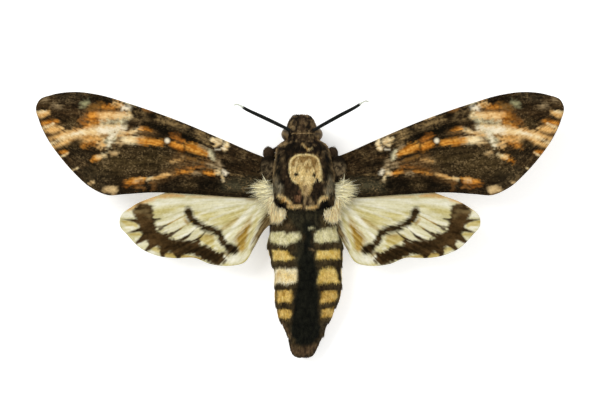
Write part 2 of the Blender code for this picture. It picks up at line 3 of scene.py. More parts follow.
import bmesh
import bpy
import numpy as np
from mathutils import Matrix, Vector


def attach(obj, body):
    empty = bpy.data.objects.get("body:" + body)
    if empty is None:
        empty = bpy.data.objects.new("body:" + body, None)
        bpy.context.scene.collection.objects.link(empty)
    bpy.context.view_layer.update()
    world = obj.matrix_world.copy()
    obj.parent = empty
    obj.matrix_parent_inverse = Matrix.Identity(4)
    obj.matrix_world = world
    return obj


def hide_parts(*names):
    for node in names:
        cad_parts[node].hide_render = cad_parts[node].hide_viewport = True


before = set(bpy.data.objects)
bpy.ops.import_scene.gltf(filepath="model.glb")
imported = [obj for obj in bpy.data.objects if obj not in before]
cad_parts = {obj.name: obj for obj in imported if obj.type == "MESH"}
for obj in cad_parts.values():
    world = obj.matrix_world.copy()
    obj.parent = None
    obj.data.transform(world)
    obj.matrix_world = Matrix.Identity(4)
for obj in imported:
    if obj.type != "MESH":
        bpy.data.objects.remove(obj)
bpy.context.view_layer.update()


# The view from straight above
# The camera hangs over the moth and looks down, with the head at the top of the picture.
# The picture's middle lies a little right of the wings' middle, and ahead of it.
MM = 0.001
PICTURE_MIDDLE = (1.37, 4.9)
PICTURE_WIDTH = 139.5
WING_LEVEL = 10.0
CAMERA_HEIGHT = 600.0
SENSOR_WIDTH = 36.0
camera = bpy.data.objects.new("camera", bpy.data.cameras.new("camera"))
camera.location = (PICTURE_MIDDLE[0] * MM, PICTURE_MIDDLE[1] * MM, CAMERA_HEIGHT * MM)
camera.data.sensor_width = SENSOR_WIDTH
camera.data.lens = SENSOR_WIDTH * (CAMERA_HEIGHT - WING_LEVEL) / PICTURE_WIDTH
camera.data.clip_start = 0.01
camera.data.clip_end = 10.0
bpy.context.scene.collection.objects.link(camera)
bpy.context.scene.camera = camera
bpy.context.scene.view_settings.view_transform = "Standard"


# The floor and the light
# A wide pale sheet lies under the moth, lit evenly as in a studio for small specimens.
# The sheet glows a little, so that the wings cast only a faint shadow on it.
class Wire:
    """What one socket gives. A sum written with it adds the Math node that works it out."""

    def __init__(self, graph, socket):
        self.graph = graph
        self.socket = socket

    def other(self, name):
        """Another output of the same node."""
        return Wire(self.graph, self.socket.node.outputs[name])

    def work(self, operation, first, second=0.0):
        return self.graph.add("ShaderNodeMath", {"operation": operation}, {0: first, 1: second})

    def __add__(self, value):
        return self.work("ADD", self, value)

    def __radd__(self, value):
        return self.work("ADD", value, self)

    def __sub__(self, value):
        return self.work("SUBTRACT", self, value)

    def __rsub__(self, value):
        return self.work("SUBTRACT", value, self)

    def __mul__(self, value):
        return self.work("MULTIPLY", self, value)

    def __rmul__(self, value):
        return self.work("MULTIPLY", value, self)

    def __pow__(self, value):
        return self.work("POWER", self, value)

    def between(self, low, high):
        """0 below low, 1 above high, and a smooth rise between them."""
        limits = {"Value": self, "From Min": low, "From Max": high}
        return self.graph.add("ShaderNodeMapRange", {"interpolation_type": "SMOOTHSTEP"}, limits)


class Graph:
    """The nodes of one material, or of one rule that grows or builds something."""

    def __init__(self, tree):
        self.tree = tree
        tree.nodes.clear()

    def add(self, kind, settings=None, sockets=None, out=0):
        """A node with its settings, then its sockets' values or wires. Gives the wire of one output."""
        node = self.tree.nodes.new(kind)
        for name, value in (settings or {}).items():
            setattr(node, name, value)
        for name, value in (sockets or {}).items():
            if isinstance(value, Wire):
                self.tree.links.new(value.socket, node.inputs[name])
            else:
                node.inputs[name].default_value = value
        return Wire(self, node.outputs[out] if len(node.outputs) else None)


class Paint(Graph):
    """A material, with what its colours need."""

    def __init__(self, name):
        self.material = bpy.data.materials.new(name)
        self.material.use_nodes = True
        super().__init__(self.material.node_tree)

    def place(self, per_metre=(1.0, 1.0, 1.0)):
        """Where a point lies on the object, stretched along each axis."""
        at = self.add("ShaderNodeTexCoord", out="Object")
        return self.add("ShaderNodeVectorMath", {"operation": "MULTIPLY"}, {0: at, 1: per_metre})

    def laid(self, name, out="Color"):
        """A colour or number that is laid on the mesh itself."""
        return self.add("ShaderNodeAttribute", {"attribute_name": name}, out=out)

    def noise(self, where, scale=1.0, detail=2.0):
        return self.add("ShaderNodeTexNoise", {}, {"Vector": where, "Scale": scale, "Detail": detail}, "Fac")

    def blend(self, share, first, second, way="MIX"):
        """Two colours mixed, or one multiplied by the other."""
        sockets = {0: share, 6: first, 7: second}
        return self.add("ShaderNodeMix", {"data_type": "RGBA", "blend_type": way}, sockets, 2)

    def grey(self, number):
        """A number as a colour."""
        return self.add("ShaderNodeCombineColor", {}, {0: number, 1: number, 2: number})

    def bump(self, height, strength, depth):
        return self.add("ShaderNodeBump", {}, {"Height": height, "Strength": strength, "Distance": depth})

    def surface(self, sockets):
        shader = self.add("ShaderNodeBsdfPrincipled", {}, sockets)
        self.add("ShaderNodeOutputMaterial", {}, {"Surface": shader})
        return self.material


def tint(red, green, blue):
    """A colour as seen on the photograph, from 0 to 255, as the renderer counts it."""
    linear = []
    for part in (red, green, blue):
        part /= 255
        linear.append(part / 12.92 if part < 0.04045 else ((part + 0.055) / 1.055) ** 2.4)
    return (*linear, 1.0)


def put_in_scene(name, mesh):
    thing = bpy.data.objects.new(name, mesh)
    bpy.context.scene.collection.objects.link(thing)
    return thing


FLOOR_HALF = 3.0
FLOOR_GLOW = 0.42
STUDIO_GLOW = 0.62
floor_mesh = bpy.data.meshes.new("floor")
floor_corners = [(-FLOOR_HALF, -FLOOR_HALF, 0), (FLOOR_HALF, -FLOOR_HALF, 0), (FLOOR_HALF, FLOOR_HALF, 0)]
floor_mesh.from_pydata(floor_corners + [(-FLOOR_HALF, FLOOR_HALF, 0)], [], [(0, 1, 2, 3)])
sheet = Paint("pale sheet")
floor_looks = {
    "Base Color": (0.86, 0.86, 0.85, 1.0),
    "Roughness": 0.9,
    "Emission Color": (1.0, 1.0, 0.99, 1.0),
    "Emission Strength": FLOOR_GLOW,
}
floor_mesh.materials.append(sheet.surface(floor_looks))
floor = put_in_scene("floor", floor_mesh)

world = bpy.data.worlds.new("studio")
world.use_nodes = True
world.node_tree.nodes["Background"].inputs["Color"].default_value = (1.0, 1.0, 1.0, 1.0)
world.node_tree.nodes["Background"].inputs["Strength"].default_value = STUDIO_GLOW
bpy.context.scene.world = world


def soft_light(name, place, size, power):
    """A square soft box that looks at the moth."""
    lamp = bpy.data.lights.new(name, "AREA")
    lamp.size = size
    lamp.energy = power
    thing = put_in_scene(name, lamp)
    thing.location = place
    thing.rotation_euler = (Vector((0, 0, 0)) - Vector(place)).to_track_quat("-Z", "Y").to_euler()


soft_light("window", (-0.45, 0.35, 0.75), 0.45, 5.0)
soft_light("reflector", (0.6, -0.2, 0.7), 0.6, 2.0)


# The body
# Head, collar, thorax and abdomen are one hard skin under a dense coat of short hair and scales.
# The skin's rings run round the body from the front of the head to the tail, inside the solids.
SIDES = {"left": -1, "right": 1}
COAT_DEPTH = 0.35
ABDOMEN_COAT_DEPTH = 0.15
BODY_FRONT = 25.2
BODY_REAR = -30.6
BODY_STEP = 0.2
BODY_POINTS_ROUND = 128
SQUARENESS = 0.92
BELLY_FLAT = 0.12
# Stations from the front: y, half width, top, bottom, height of the widest place
BODY_STATIONS = (
    (25.3, 1.7, 8.2, 5.6, 7.0), (24.9, 2.5, 8.9, 4.8, 7.0), (24.3, 3.0, 9.4, 4.4, 7.1),
    (23.0, 3.6, 10.2, 3.7, 7.2), (21.4, 4.0, 10.8, 3.5, 7.3), (19.4, 4.4, 11.0, 3.6, 7.5),
    (18.4, 5.7, 12.0, 3.6, 7.8), (17.3, 6.35, 12.3, 3.4, 8.0), (16.2, 6.4, 12.2, 3.4, 8.2),
    (14.6, 6.5, 13.3, 3.1, 8.3), (12.0, 6.8, 14.0, 2.9, 8.4), (9.0, 6.9, 14.0, 2.8, 8.4),
    (6.0, 7.0, 13.2, 2.7, 8.2), (4.2, 6.9, 12.4, 2.6, 7.8), (2.7, 6.7, 11.5, 2.2, 7.1),
    (0.0, 7.8, 11.7, 0.6, 6.2), (-2.6, 8.4, 11.8, -0.3, 5.9), (-4.8, 8.75, 11.8, -0.5, 5.9),
    (-7.6, 8.4, 11.7, -0.6, 5.9), (-9.4, 8.05, 11.5, -0.7, 5.8), (-11.6, 7.85, 11.2, -0.7, 5.7),
    (-16.2, 7.65, 10.5, -0.7, 5.4), (-18.5, 7.05, 10.0, -0.6, 5.2), (-20.9, 6.3, 9.5, -0.5, 4.9),
    (-23.2, 5.15, 8.8, -0.4, 4.6), (-25.5, 4.2, 8.0, -0.3, 4.3), (-27.8, 3.45, 7.1, 0.1, 4.0),
    (-29.0, 3.0, 6.5, 0.6, 3.8), (-29.8, 2.5, 5.9, 1.2, 3.8), (-30.3, 1.9, 5.2, 2.0, 3.8),
    (-30.6, 1.0, 4.4, 3.0, 3.8),
)
PLATE_REAR_EDGES = (2.7, -0.6, -5.1, -9.4, -14.2, -18.6, -22.2, -25.4)
PLATE_STEP = 0.24
PLATE_STEP_LENGTH = 0.4
# The body's own middle: y, and how far right of the wings' middle it lies
AXIS = (
    (-30.6, 0.7), (-27.8, 0.85), (-25.5, 1.2), (-23.2, 1.05), (-20.9, 1.2), (-18.5, 1.4), (-16.2, 1.75),
    (-11.6, 1.85), (-8.0, 1.5), (-4.8, 1.15), (0.0, 1.2), (10.0, 0.85), (25.3, 0.3),
)
# The tegula on each side: a raised lobe over the forewing's root
TEGULA_FRONT = 17.0
TEGULA_REAR = 4.9
TEGULA_MIDDLE = math.radians(40)
TEGULA_SPREAD = math.radians(18)
TEGULA_RISE = 1.25


def through(places, values, at):
    """A smooth curve through values at rising places, read at other places."""
    places, values = np.asarray(places, float), np.asarray(values, float)
    slopes = np.gradient(values, places)
    at = np.clip(at, places[0], places[-1])
    i = np.clip(np.searchsorted(places, at) - 1, 0, len(places) - 2)
    run = places[i + 1] - places[i]
    t = (at - places[i]) / run
    return (
        values[i] * (2 * t**3 - 3 * t**2 + 1)
        + slopes[i] * run * (t**3 - 2 * t**2 + t)
        + values[i + 1] * (3 * t**2 - 2 * t**3)
        + slopes[i + 1] * run * (t**3 - t**2)
    )


def rise_between(low, high, at):
    """0 below low, 1 above high, and a smooth rise between them."""
    t = np.clip((at - low) / (high - low), 0.0, 1.0)
    return t * t * (3 - 2 * t)


def ragged(x, y, size, seed):
    """Smooth unevenness from -1 to 1, in lumps of about the given size."""
    lattice = np.random.default_rng(seed).uniform(-1, 1, (61, 61))
    u, v = x / size, y / size
    i, j = np.floor(u).astype(int), np.floor(v).astype(int)
    a, b = u - i, v - j
    a, b = a * a * (3 - 2 * a), b * b * (3 - 2 * b)
    i, j = i % 60, j % 60
    near = lattice[i, j] * (1 - a) + lattice[i + 1, j] * a
    far = lattice[i, j + 1] * (1 - a) + lattice[i + 1, j + 1] * a
    return near * (1 - b) + far * b


def axis_x(y):
    """How far right of the wings' middle the body's middle lies."""
    places, offsets = zip(*AXIS)
    return through(places, offsets, y)


def body_surface(y, angle, extra=0.0):
    """Points on the body's skin. Angle 0 is the right side, and a quarter turn is the back."""
    table = np.array(BODY_STATIONS[::-1])
    half, top, bottom, level = [through(table[:, 0], table[:, k], y) for k in range(1, 5)]
    cosine, sine = np.cos(angle), np.sin(angle)
    height = np.where(sine > 0, top - level, level - bottom)
    x = axis_x(y) + (half + extra) * np.sign(cosine) * np.abs(cosine) ** SQUARENESS
    z = level + (height + extra) * np.sign(sine) * np.abs(sine) ** SQUARENESS
    return np.stack([x, y + 0 * x, np.maximum(z, BELLY_FLAT)], axis=-1)


def tegula_share(y, angle):
    """How far the tegulae stand out here, from 0 to 1, and how far across one the point lies."""
    part = (TEGULA_FRONT - y) / (TEGULA_FRONT - TEGULA_REAR)
    inside = np.clip(0.1 + 0.82 * part, 0.0, 1.0)
    spread = TEGULA_SPREAD * np.sin(np.pi * inside) ** 0.6 + 1e-4
    folded = np.where(np.cos(angle) < 0, np.pi - angle, angle)
    across = (folded - (TEGULA_MIDDLE - math.radians(4) * part)) / spread
    share = rise_between(1.08, 0.72, np.abs(across)) * rise_between(-0.02, 0.06, part)
    share = share * rise_between(1.03, 0.97, part)
    return share, across


def plate_step(y):
    """Each abdomen plate's rear edge stands over the next one."""
    places, rises = [], []
    for front, rear in zip(PLATE_REAR_EDGES, PLATE_REAR_EDGES[1:]):
        places += [front - PLATE_STEP_LENGTH, (front + rear) / 2, rear]
        rises += [-0.4 * PLATE_STEP, 0.05 * PLATE_STEP, 0.6 * PLATE_STEP]
    places += [PLATE_REAR_EDGES[-1] - PLATE_STEP_LENGTH, BODY_REAR]
    rises += [-0.4 * PLATE_STEP, 0.0]
    return np.where(y < PLATE_REAR_EDGES[0], np.interp(-y, [-p for p in places], rises), 0.0)


def body_rise(y, angle):
    """How far the skin stands out from the stations' plain shape."""
    depth = COAT_DEPTH + (ABDOMEN_COAT_DEPTH - COAT_DEPTH) * rise_between(3.2, 2.2, y)
    share, across = tegula_share(y, angle)
    lobe = share * TEGULA_RISE * (0.55 + 0.45 * np.sqrt(np.clip(1 - across**2, 0, 1)))
    return lobe - depth + plate_step(y) + 0.1 * ragged(angle * 7, y, 1.1, 5)


class Canvas:
    """Colours laid one over another on points seen from above, in millimetres, with a share of flecks."""

    def __init__(self, x, y, ground, wander, grain):
        self.x, self.y = x, y
        self.wander = wander
        self.grain = np.clip(0.5 + 0.9 * grain, 0, 1)[:, None]
        self.laid = np.zeros((len(x), 4))
        self.cover(ground, 1e9, 1.0, 0.0)

    def cover(self, colour, inside, soft, rough, share=1.0):
        """Lays a colour, or streaks of two, where inside, in millimetres past the edge, is above 0."""
        laid = np.clip(0.5 + (inside + rough * self.wander) / soft, 0, 1)[:, None] * share
        colour = np.array(colour)
        if colour.ndim == 2:
            colour = colour[0] * (1 - self.grain) + colour[1] * self.grain
        self.laid = self.laid * (1 - laid) + colour * laid

    def stroke(self, colour, points, soft=0.3, rough=0.2, share=1.0):
        """A brush stroke through (x, y, half width) points, or a dab at one."""
        inside = np.full(len(self.x), -1e9)
        points = [np.array(p, float) for p in points]
        for a, b in zip(points, points[1:] or points):
            run = b[:2] - a[:2]
            part = ((self.x - a[0]) * run[0] + (self.y - a[1]) * run[1]) / max(run @ run, 1e-9)
            part = np.clip(part, 0, 1)
            away = np.hypot(self.x - a[0] - run[0] * part, self.y - a[1] - run[1] * part)
            inside = np.maximum(inside, a[2] + (b[2] - a[2]) * part - away)
        self.cover(colour, inside, soft, rough, share)

    def patch(self, colour, corners, soft=0.3, rough=0.2, share=1.0):
        """A filled outline."""
        away = np.full(len(self.x), 1e9)
        within = np.zeros(len(self.x), bool)
        for (ax, ay), (bx, by) in zip(corners, corners[1:] + corners[:1]):
            length = (bx - ax) ** 2 + (by - ay) ** 2
            part = np.clip(((self.x - ax) * (bx - ax) + (self.y - ay) * (by - ay)) / length, 0, 1)
            away = np.minimum(away, np.hypot(self.x - ax - part * (bx - ax), self.y - ay - part * (by - ay)))
            if ay != by:
                crosses = ax + (self.y - ay) * (bx - ax) / (by - ay)
                within ^= ((ay > self.y) != (by > self.y)) & (self.x < crosses)
        self.cover(colour, np.where(within, away, -away), soft, rough, share)


def shade(red, green, blue, flecks=0.0):
    """A colour for a canvas, as seen on the photograph, with its share of flecks."""
    return (*tint(red, green, blue)[:3], flecks)


PELT = (shade(24, 18, 11), shade(64, 49, 33))
SOOT = shade(20, 16, 11)
CHARCOAL = (shade(26, 22, 15), shade(70, 60, 41))
MOUSE = (shade(92, 84, 64), shade(182, 170, 138))
TAN = (shade(112, 90, 58), shade(196, 166, 118))
COCOA = (shade(56, 42, 28), shade(116, 92, 64))
BONE = (shade(198, 162, 96), shade(226, 196, 130))
BONE_LIGHT = (shade(238, 208, 136), shade(254, 234, 176))
BONE_DARK = (shade(116, 86, 44), shade(172, 136, 78))
ORANGE_CREAM = (shade(226, 174, 96), shade(255, 230, 166))
LICHEN = (shade(212, 203, 146), shade(238, 230, 186))
MAIZE = (shade(216, 180, 86), shade(246, 220, 140))
IVORY_BAND = (shade(248, 226, 166), shade(255, 246, 212))
OCHRE_BAND = (shade(182, 140, 58), shade(232, 196, 112))
RING_BROWN = (shade(44, 34, 18), shade(84, 70, 44))
STRIPE = (shade(10, 11, 7), shade(32, 32, 23))
ASHEN = (shade(22, 21, 14), shade(58, 56, 40))
BELLY = shade(176, 142, 84)


def paint_skull(canvas):
    """The pale mark on the thorax: a dome, two dark spots and a tapering lower part."""
    middle, crown, half_width, height = 1.1, 12.7, 3.5, 3.25
    x, y = canvas.x - middle, canvas.y - crown
    upper = np.where(y > 0, y / height, y / 3.6)
    dome = 1 - (np.abs(x / half_width) ** 2.7 + np.abs(upper) ** 2.7) ** (1 / 2.7)
    cut = [(-2.8, 11.2), (-2.2, 10.7), (-1.8, 9.9), (-0.9, 9.3), (-0.4, 8.2), (-0.1, 6.6), (-3.5, 6.6)]
    cut_right = [
        (4.9, 9.2), (4.4, 9.5), (4.15, 10.3), (3.7, 10.1), (3.2, 9.2), (2.75, 8.0), (2.4, 6.6),
        (5.5, 6.6),
    ]
    canvas.cover(BONE, dome * 3.4, 0.2, 0.1)
    canvas.stroke(
        BONE_DARK,
        [(-1.2, 13.9, 0.9), (-0.6, 14.8, 0.8), (1.1, 15.1, 0.75), (3.2, 14.7, 0.9), (3.6, 13.2, 0.5)],
        1.2, 0.5, 0.9,
    )
    canvas.stroke(BONE_DARK, [(0.4, 13.5, 0.8), (2.8, 13.3, 0.8)], 1.4, 0.6, 0.6)
    canvas.stroke(BONE_DARK, [(-1.5, 12.9, 0.4), (-1.7, 11.9, 0.3)], 0.9, 0.4, 0.5)
    strands = ragged(canvas.x * 2.6, canvas.y, 0.8, 83)
    canvas.cover(
        BONE_DARK, np.minimum(dome * 3.4 - 0.5, strands * 0.7 + 0.25 * (canvas.y - 13.2)), 0.4, 0.1, 0.75,
    )
    canvas.cover(
        BONE_LIGHT, np.minimum(dome * 3.4 - 0.6, 0.1 - strands * 0.9 + 0.15 * (12.6 - canvas.y)),
        0.4, 0.1, 0.6,
    )
    canvas.cover(BONE_LIGHT, np.minimum(dome * 3.4 + 0.06, 0.3 - dome * 3.4), 0.14, 0.1, 1.0)
    canvas.patch(PELT, cut, 0.2, 0.12)
    canvas.patch(PELT, cut_right, 0.2, 0.12)
    canvas.patch(
        BONE, [(-0.5, 9.9), (3.1, 9.9), (2.8, 8.4), (2.1, 6.7), (0.6, 6.7), (0.1, 8.4)], 0.3, 0.2, 0.8,
    )
    canvas.stroke(TAN, [(1.3, 8.2, 0.8), (1.35, 7.0, 0.7)], 0.7, 0.4, 0.75)
    canvas.stroke(BONE_LIGHT, [(0.2, 12.1, 0.5), (1.0, 11.0, 0.9), (1.2, 9.8, 0.6)], 1.0, 0.3, 0.6)
    canvas.stroke(BONE_LIGHT, [(1.9, 9.8, 0.3), (2.4, 8.6, 0.2)], 0.4, 0.2, 0.7)
    canvas.stroke(TAN, [(0.9, 10.0, 0.2), (0.8, 8.6, 0.2)], 0.4, 0.2, 0.6)
    canvas.stroke(SOOT, [(-1.0, 11.3, 0.36), (-0.65, 11.35, 0.38)], 0.16, 0.04)
    canvas.stroke(SOOT, [(3.2, 11.5, 0.28), (3.2, 11.05, 0.36)], 0.16, 0.04)
    canvas.stroke(SOOT, [(3.7, 10.4, 0.14), (4.0, 9.9, 0.24)], 0.2, 0.08)
    canvas.stroke(BONE_LIGHT, [(4.5, 11.5, 0.16), (4.5, 9.9, 0.2)], 0.15, 0.05)


def paint_thorax(canvas):
    """Dark hair with paler tips, the grey rear of the tegulae, and the pale crescents behind."""
    canvas.stroke(CHARCOAL, [(-5.2, 16.2, 0.8), (-5.3, 12.0, 1.1), (-5.2, 9.0, 1.2)], 0.8, 0.5)
    canvas.stroke(CHARCOAL, [(6.3, 16.2, 0.8), (6.9, 12.0, 1.1), (6.7, 9.0, 1.2)], 0.8, 0.5)
    canvas.stroke(MOUSE, [(-5.8, 11.2, 0.3), (-5.5, 9.4, 0.9), (-4.6, 7.8, 0.9)], 0.9, 0.6, 0.9)
    canvas.stroke(MOUSE, [(7.0, 10.9, 0.4), (6.9, 9.0, 0.8), (6.4, 7.4, 0.7)], 0.9, 0.6, 0.8)
    canvas.stroke(
        TAN, [(-5.2, 17.2, 0.3), (-5.8, 15.5, 0.4), (-5.9, 13.4, 0.45), (-6.1, 11.4, 0.3)], 0.4, 0.3, 0.9,
    )
    canvas.stroke(
        TAN, [(6.5, 17.2, 0.3), (7.2, 15.5, 0.4), (7.5, 13.4, 0.45), (7.7, 11.4, 0.3)], 0.4, 0.3, 0.9,
    )
    canvas.stroke(SOOT, [(-4.7, 16.2, 0.4), (-4.7, 13.0, 0.35), (-4.2, 9.6, 0.3)], 0.4, 0.2)
    canvas.stroke(SOOT, [(6.0, 16.2, 0.4), (6.2, 13.0, 0.35), (5.6, 9.6, 0.3)], 0.4, 0.2)
    clumps = ragged(canvas.x, canvas.y * 0.6, 0.36, 84)
    aside = np.abs(canvas.x - 1.1)
    canvas.cover(TAN, np.minimum(clumps - 0.3, np.minimum(aside - 2.6, 16.8 - canvas.y)), 0.5, 0.1, 0.45)
    canvas.stroke(SOOT, [(-3.2, 15.9, 0.6), (-2.9, 14.0, 0.3), (-3.0, 11.4, 0.3)], 0.5, 0.2, 0.7)
    canvas.stroke(COCOA, [(-3.3, 13.0, 0.3), (-3.4, 10.8, 0.5)], 0.6, 0.4, 0.6)
    canvas.stroke(CHARCOAL, [(-2.3, 10.1, 0.4), (-1.5, 8.6, 0.9), (-2.2, 7.4, 0.9)], 0.5, 0.3)
    canvas.stroke(CHARCOAL, [(4.2, 9.8, 0.5), (3.4, 8.4, 0.6), (3.3, 7.0, 0.6)], 0.5, 0.3)
    canvas.stroke(SOOT, [(4.4, 9.2, 0.3), (4.0, 7.6, 0.5), (3.2, 6.4, 0.4)], 0.4, 0.3, 0.8)
    canvas.stroke(SOOT, [(-2.6, 8.6, 0.3), (-3.0, 7.4, 0.4)], 0.4, 0.3, 0.7)
    canvas.stroke(
        (shade(92, 62, 40), shade(176, 130, 92)), [(-0.4, 7.2, 0.6), (-0.6, 6.0, 0.7)], 0.5, 0.4, 0.9,
    )
    canvas.stroke(SOOT, [(0.5, 7.4, 0.14), (0.55, 5.2, 0.16)], 0.2, 0.1, 0.9)
    canvas.stroke(TAN, [(1.3, 6.6, 0.25), (1.1, 5.0, 0.25), (1.0, 3.7, 0.15)], 0.3, 0.2, 0.9)
    canvas.stroke(TAN, [(2.1, 6.6, 0.2), (2.6, 5.2, 0.35), (3.0, 4.6, 0.3)], 0.4, 0.3, 0.8)
    canvas.stroke(
        SOOT, [(-4.9, 5.6, 0.8), (-3.8, 3.9, 0.7), (0.0, 2.7, 0.6), (3.6, 2.9, 0.7), (6.2, 4.8, 0.9)],
        0.5, 0.3,
    )
    canvas.stroke(ORANGE_CREAM, [(-4.7, 6.7, 0.4), (-3.5, 5.9, 0.46), (-2.2, 4.9, 0.36)], 0.3, 0.12)
    canvas.stroke(ORANGE_CREAM, [(-2.7, 4.1, 0.28), (-1.4, 4.0, 0.42), (0.2, 4.2, 0.32)], 0.3, 0.12)
    canvas.stroke(ORANGE_CREAM, [(6.2, 6.3, 0.38), (5.2, 6.1, 0.44), (4.3, 5.1, 0.34)], 0.3, 0.12)
    canvas.stroke(ORANGE_CREAM, [(3.9, 4.2, 0.28), (2.8, 3.9, 0.4), (1.6, 3.9, 0.3)], 0.3, 0.12)


def paint_head(canvas):
    """Brown hair on head and collar, with tan tips at the sides and a pale line where it parts."""
    canvas.stroke(PELT, [(0.6, 25.0, 2.6), (0.6, 20.0, 5.0)], 0.6, 0.3)
    clumps = ragged(canvas.x, canvas.y, 0.42, 81)
    canvas.cover(TAN, np.minimum(clumps - 0.3, canvas.y - 17.5), 0.45, 0.1, 0.42)
    canvas.cover(SOOT, np.minimum(-clumps - 0.3, canvas.y - 17.5), 0.4, 0.1, 0.8)
    canvas.stroke(SOOT, [(0.4, 23.1, 0.35), (1.2, 22.8, 0.3)], 0.5, 0.3, 0.9)
    canvas.stroke(COCOA, [(0.5, 24.0, 0.6), (0.6, 21.6, 0.9)], 1.2, 0.6, 0.6)
    canvas.stroke(TAN, [(-2.0, 23.8, 0.35), (-1.6, 22.6, 0.5), (-2.8, 22.2, 0.3)], 0.6, 0.5, 0.6)
    canvas.stroke(TAN, [(3.2, 23.9, 0.2), (3.5, 22.9, 0.3)], 0.6, 0.4, 0.7)
    canvas.stroke(TAN, [(-1.6, 20.85, 0.2), (0.9, 20.95, 0.26), (3.2, 20.85, 0.2)], 0.2, 0.15, 1.0)
    canvas.stroke(
        SOOT, [(-3.4, 20.3, 0.2), (-1.6, 20.5, 0.14), (2.6, 20.4, 0.14), (4.4, 20.2, 0.2)], 0.25, 0.12, 0.9,
    )
    canvas.stroke(COCOA, [(-0.6, 20.0, 0.4), (1.2, 19.6, 0.6), (2.6, 19.2, 0.4)], 0.8, 0.5, 0.7)
    canvas.stroke(
        SOOT, [(-4.2, 17.3, 0.4), (-2.4, 17.5, 0.6), (0.6, 17.2, 0.7), (3.4, 17.4, 0.6), (5.6, 17.2, 0.4)],
        0.9, 0.6, 0.85,
    )
    canvas.stroke(SOOT, [(-1.4, 18.9, 0.2), (-0.4, 18.3, 0.3)], 0.4, 0.3, 0.7)
    canvas.stroke(COCOA, [(-4.6, 18.3, 0.6), (-3.4, 18.8, 0.5), (-2.9, 19.4, 0.3)], 0.5, 0.4)
    canvas.stroke(TAN, [(-5.0, 18.4, 0.3), (-4.0, 18.3, 0.4), (-3.0, 18.6, 0.3)], 0.4, 0.4)
    canvas.stroke(COCOA, [(3.8, 19.3, 0.4), (4.9, 18.9, 0.6), (6.0, 18.0, 0.5)], 0.5, 0.4)
    canvas.stroke(TAN, [(4.4, 19.2, 0.3), (5.4, 18.7, 0.4), (6.3, 18.1, 0.3)], 0.4, 0.4)
    canvas.stroke(
        ORANGE_CREAM, [(0.5, 18.4, 0.12), (1.2, 17.6, 0.18), (1.9, 16.95, 0.24), (2.7, 17.4, 0.12)],
        0.2, 0.12, 0.8,
    )


# The abdomen's pale rows: the left and the right patch's colour, then the corners of both patches
ABDOMEN_ROWS = (
    (
        IVORY_BAND, LICHEN,
        [(-7.2, 3.2), (-4.0, 3.0), (-3.6, 1.4), (-4.6, 0.2), (-7.4, 0.6)],
        [(5.4, 2.6), (8.2, 3.2), (8.8, 0.8), (7.0, 0.4)],
    ),
    (
        LICHEN, LICHEN,
        [(-6.8, -1.9), (-3.6, -1.8), (-3.0, -2.4), (-2.2, -1.9), (-0.2, -1.7), (0.5, -2.6), (-0.6, -3.9),
         (-3.0, -4.7), (-6.6, -4.2)],
        [(3.2, -2.1), (3.8, -1.3), (6.6, -0.7), (8.3, -0.5), (8.9, -3.6), (5.0, -4.3), (3.4, -3.9)],
    ),
    (
        MAIZE, MAIZE,
        [(-6.4, -5.9), (-2.9, -5.8), (-2.3, -7.2), (-0.8, -7.6), (-2.4, -8.2), (-6.1, -8.1)],
        [(3.8, -5.9), (9.1, -5.6), (9.0, -7.8), (3.6, -7.9)],
    ),
    (
        IVORY_BAND, MAIZE,
        [(-5.7, -10.0), (-0.8, -9.9), (-0.5, -12.9), (-1.6, -13.5), (-5.7, -13.5)],
        [(4.9, -9.8), (7.9, -9.9), (9.0, -13.3), (3.7, -13.5)],
    ),
    (
        OCHRE_BAND, OCHRE_BAND,
        [(-5.4, -15.3), (-2.0, -15.0), (-1.5, -16.6), (-2.2, -17.9), (-5.2, -17.9)],
        [(4.9, -15.4), (8.5, -15.1), (8.5, -17.0), (7.9, -17.8), (4.5, -17.9)],
    ),
    (
        OCHRE_BAND, OCHRE_BAND,
        [(-5.0, -19.6), (-2.1, -19.3), (-1.8, -20.6), (-2.4, -21.5), (-4.9, -21.3)],
        [(5.2, -19.6), (7.9, -18.9), (7.4, -21.2), (4.7, -21.5)],
    ),
)


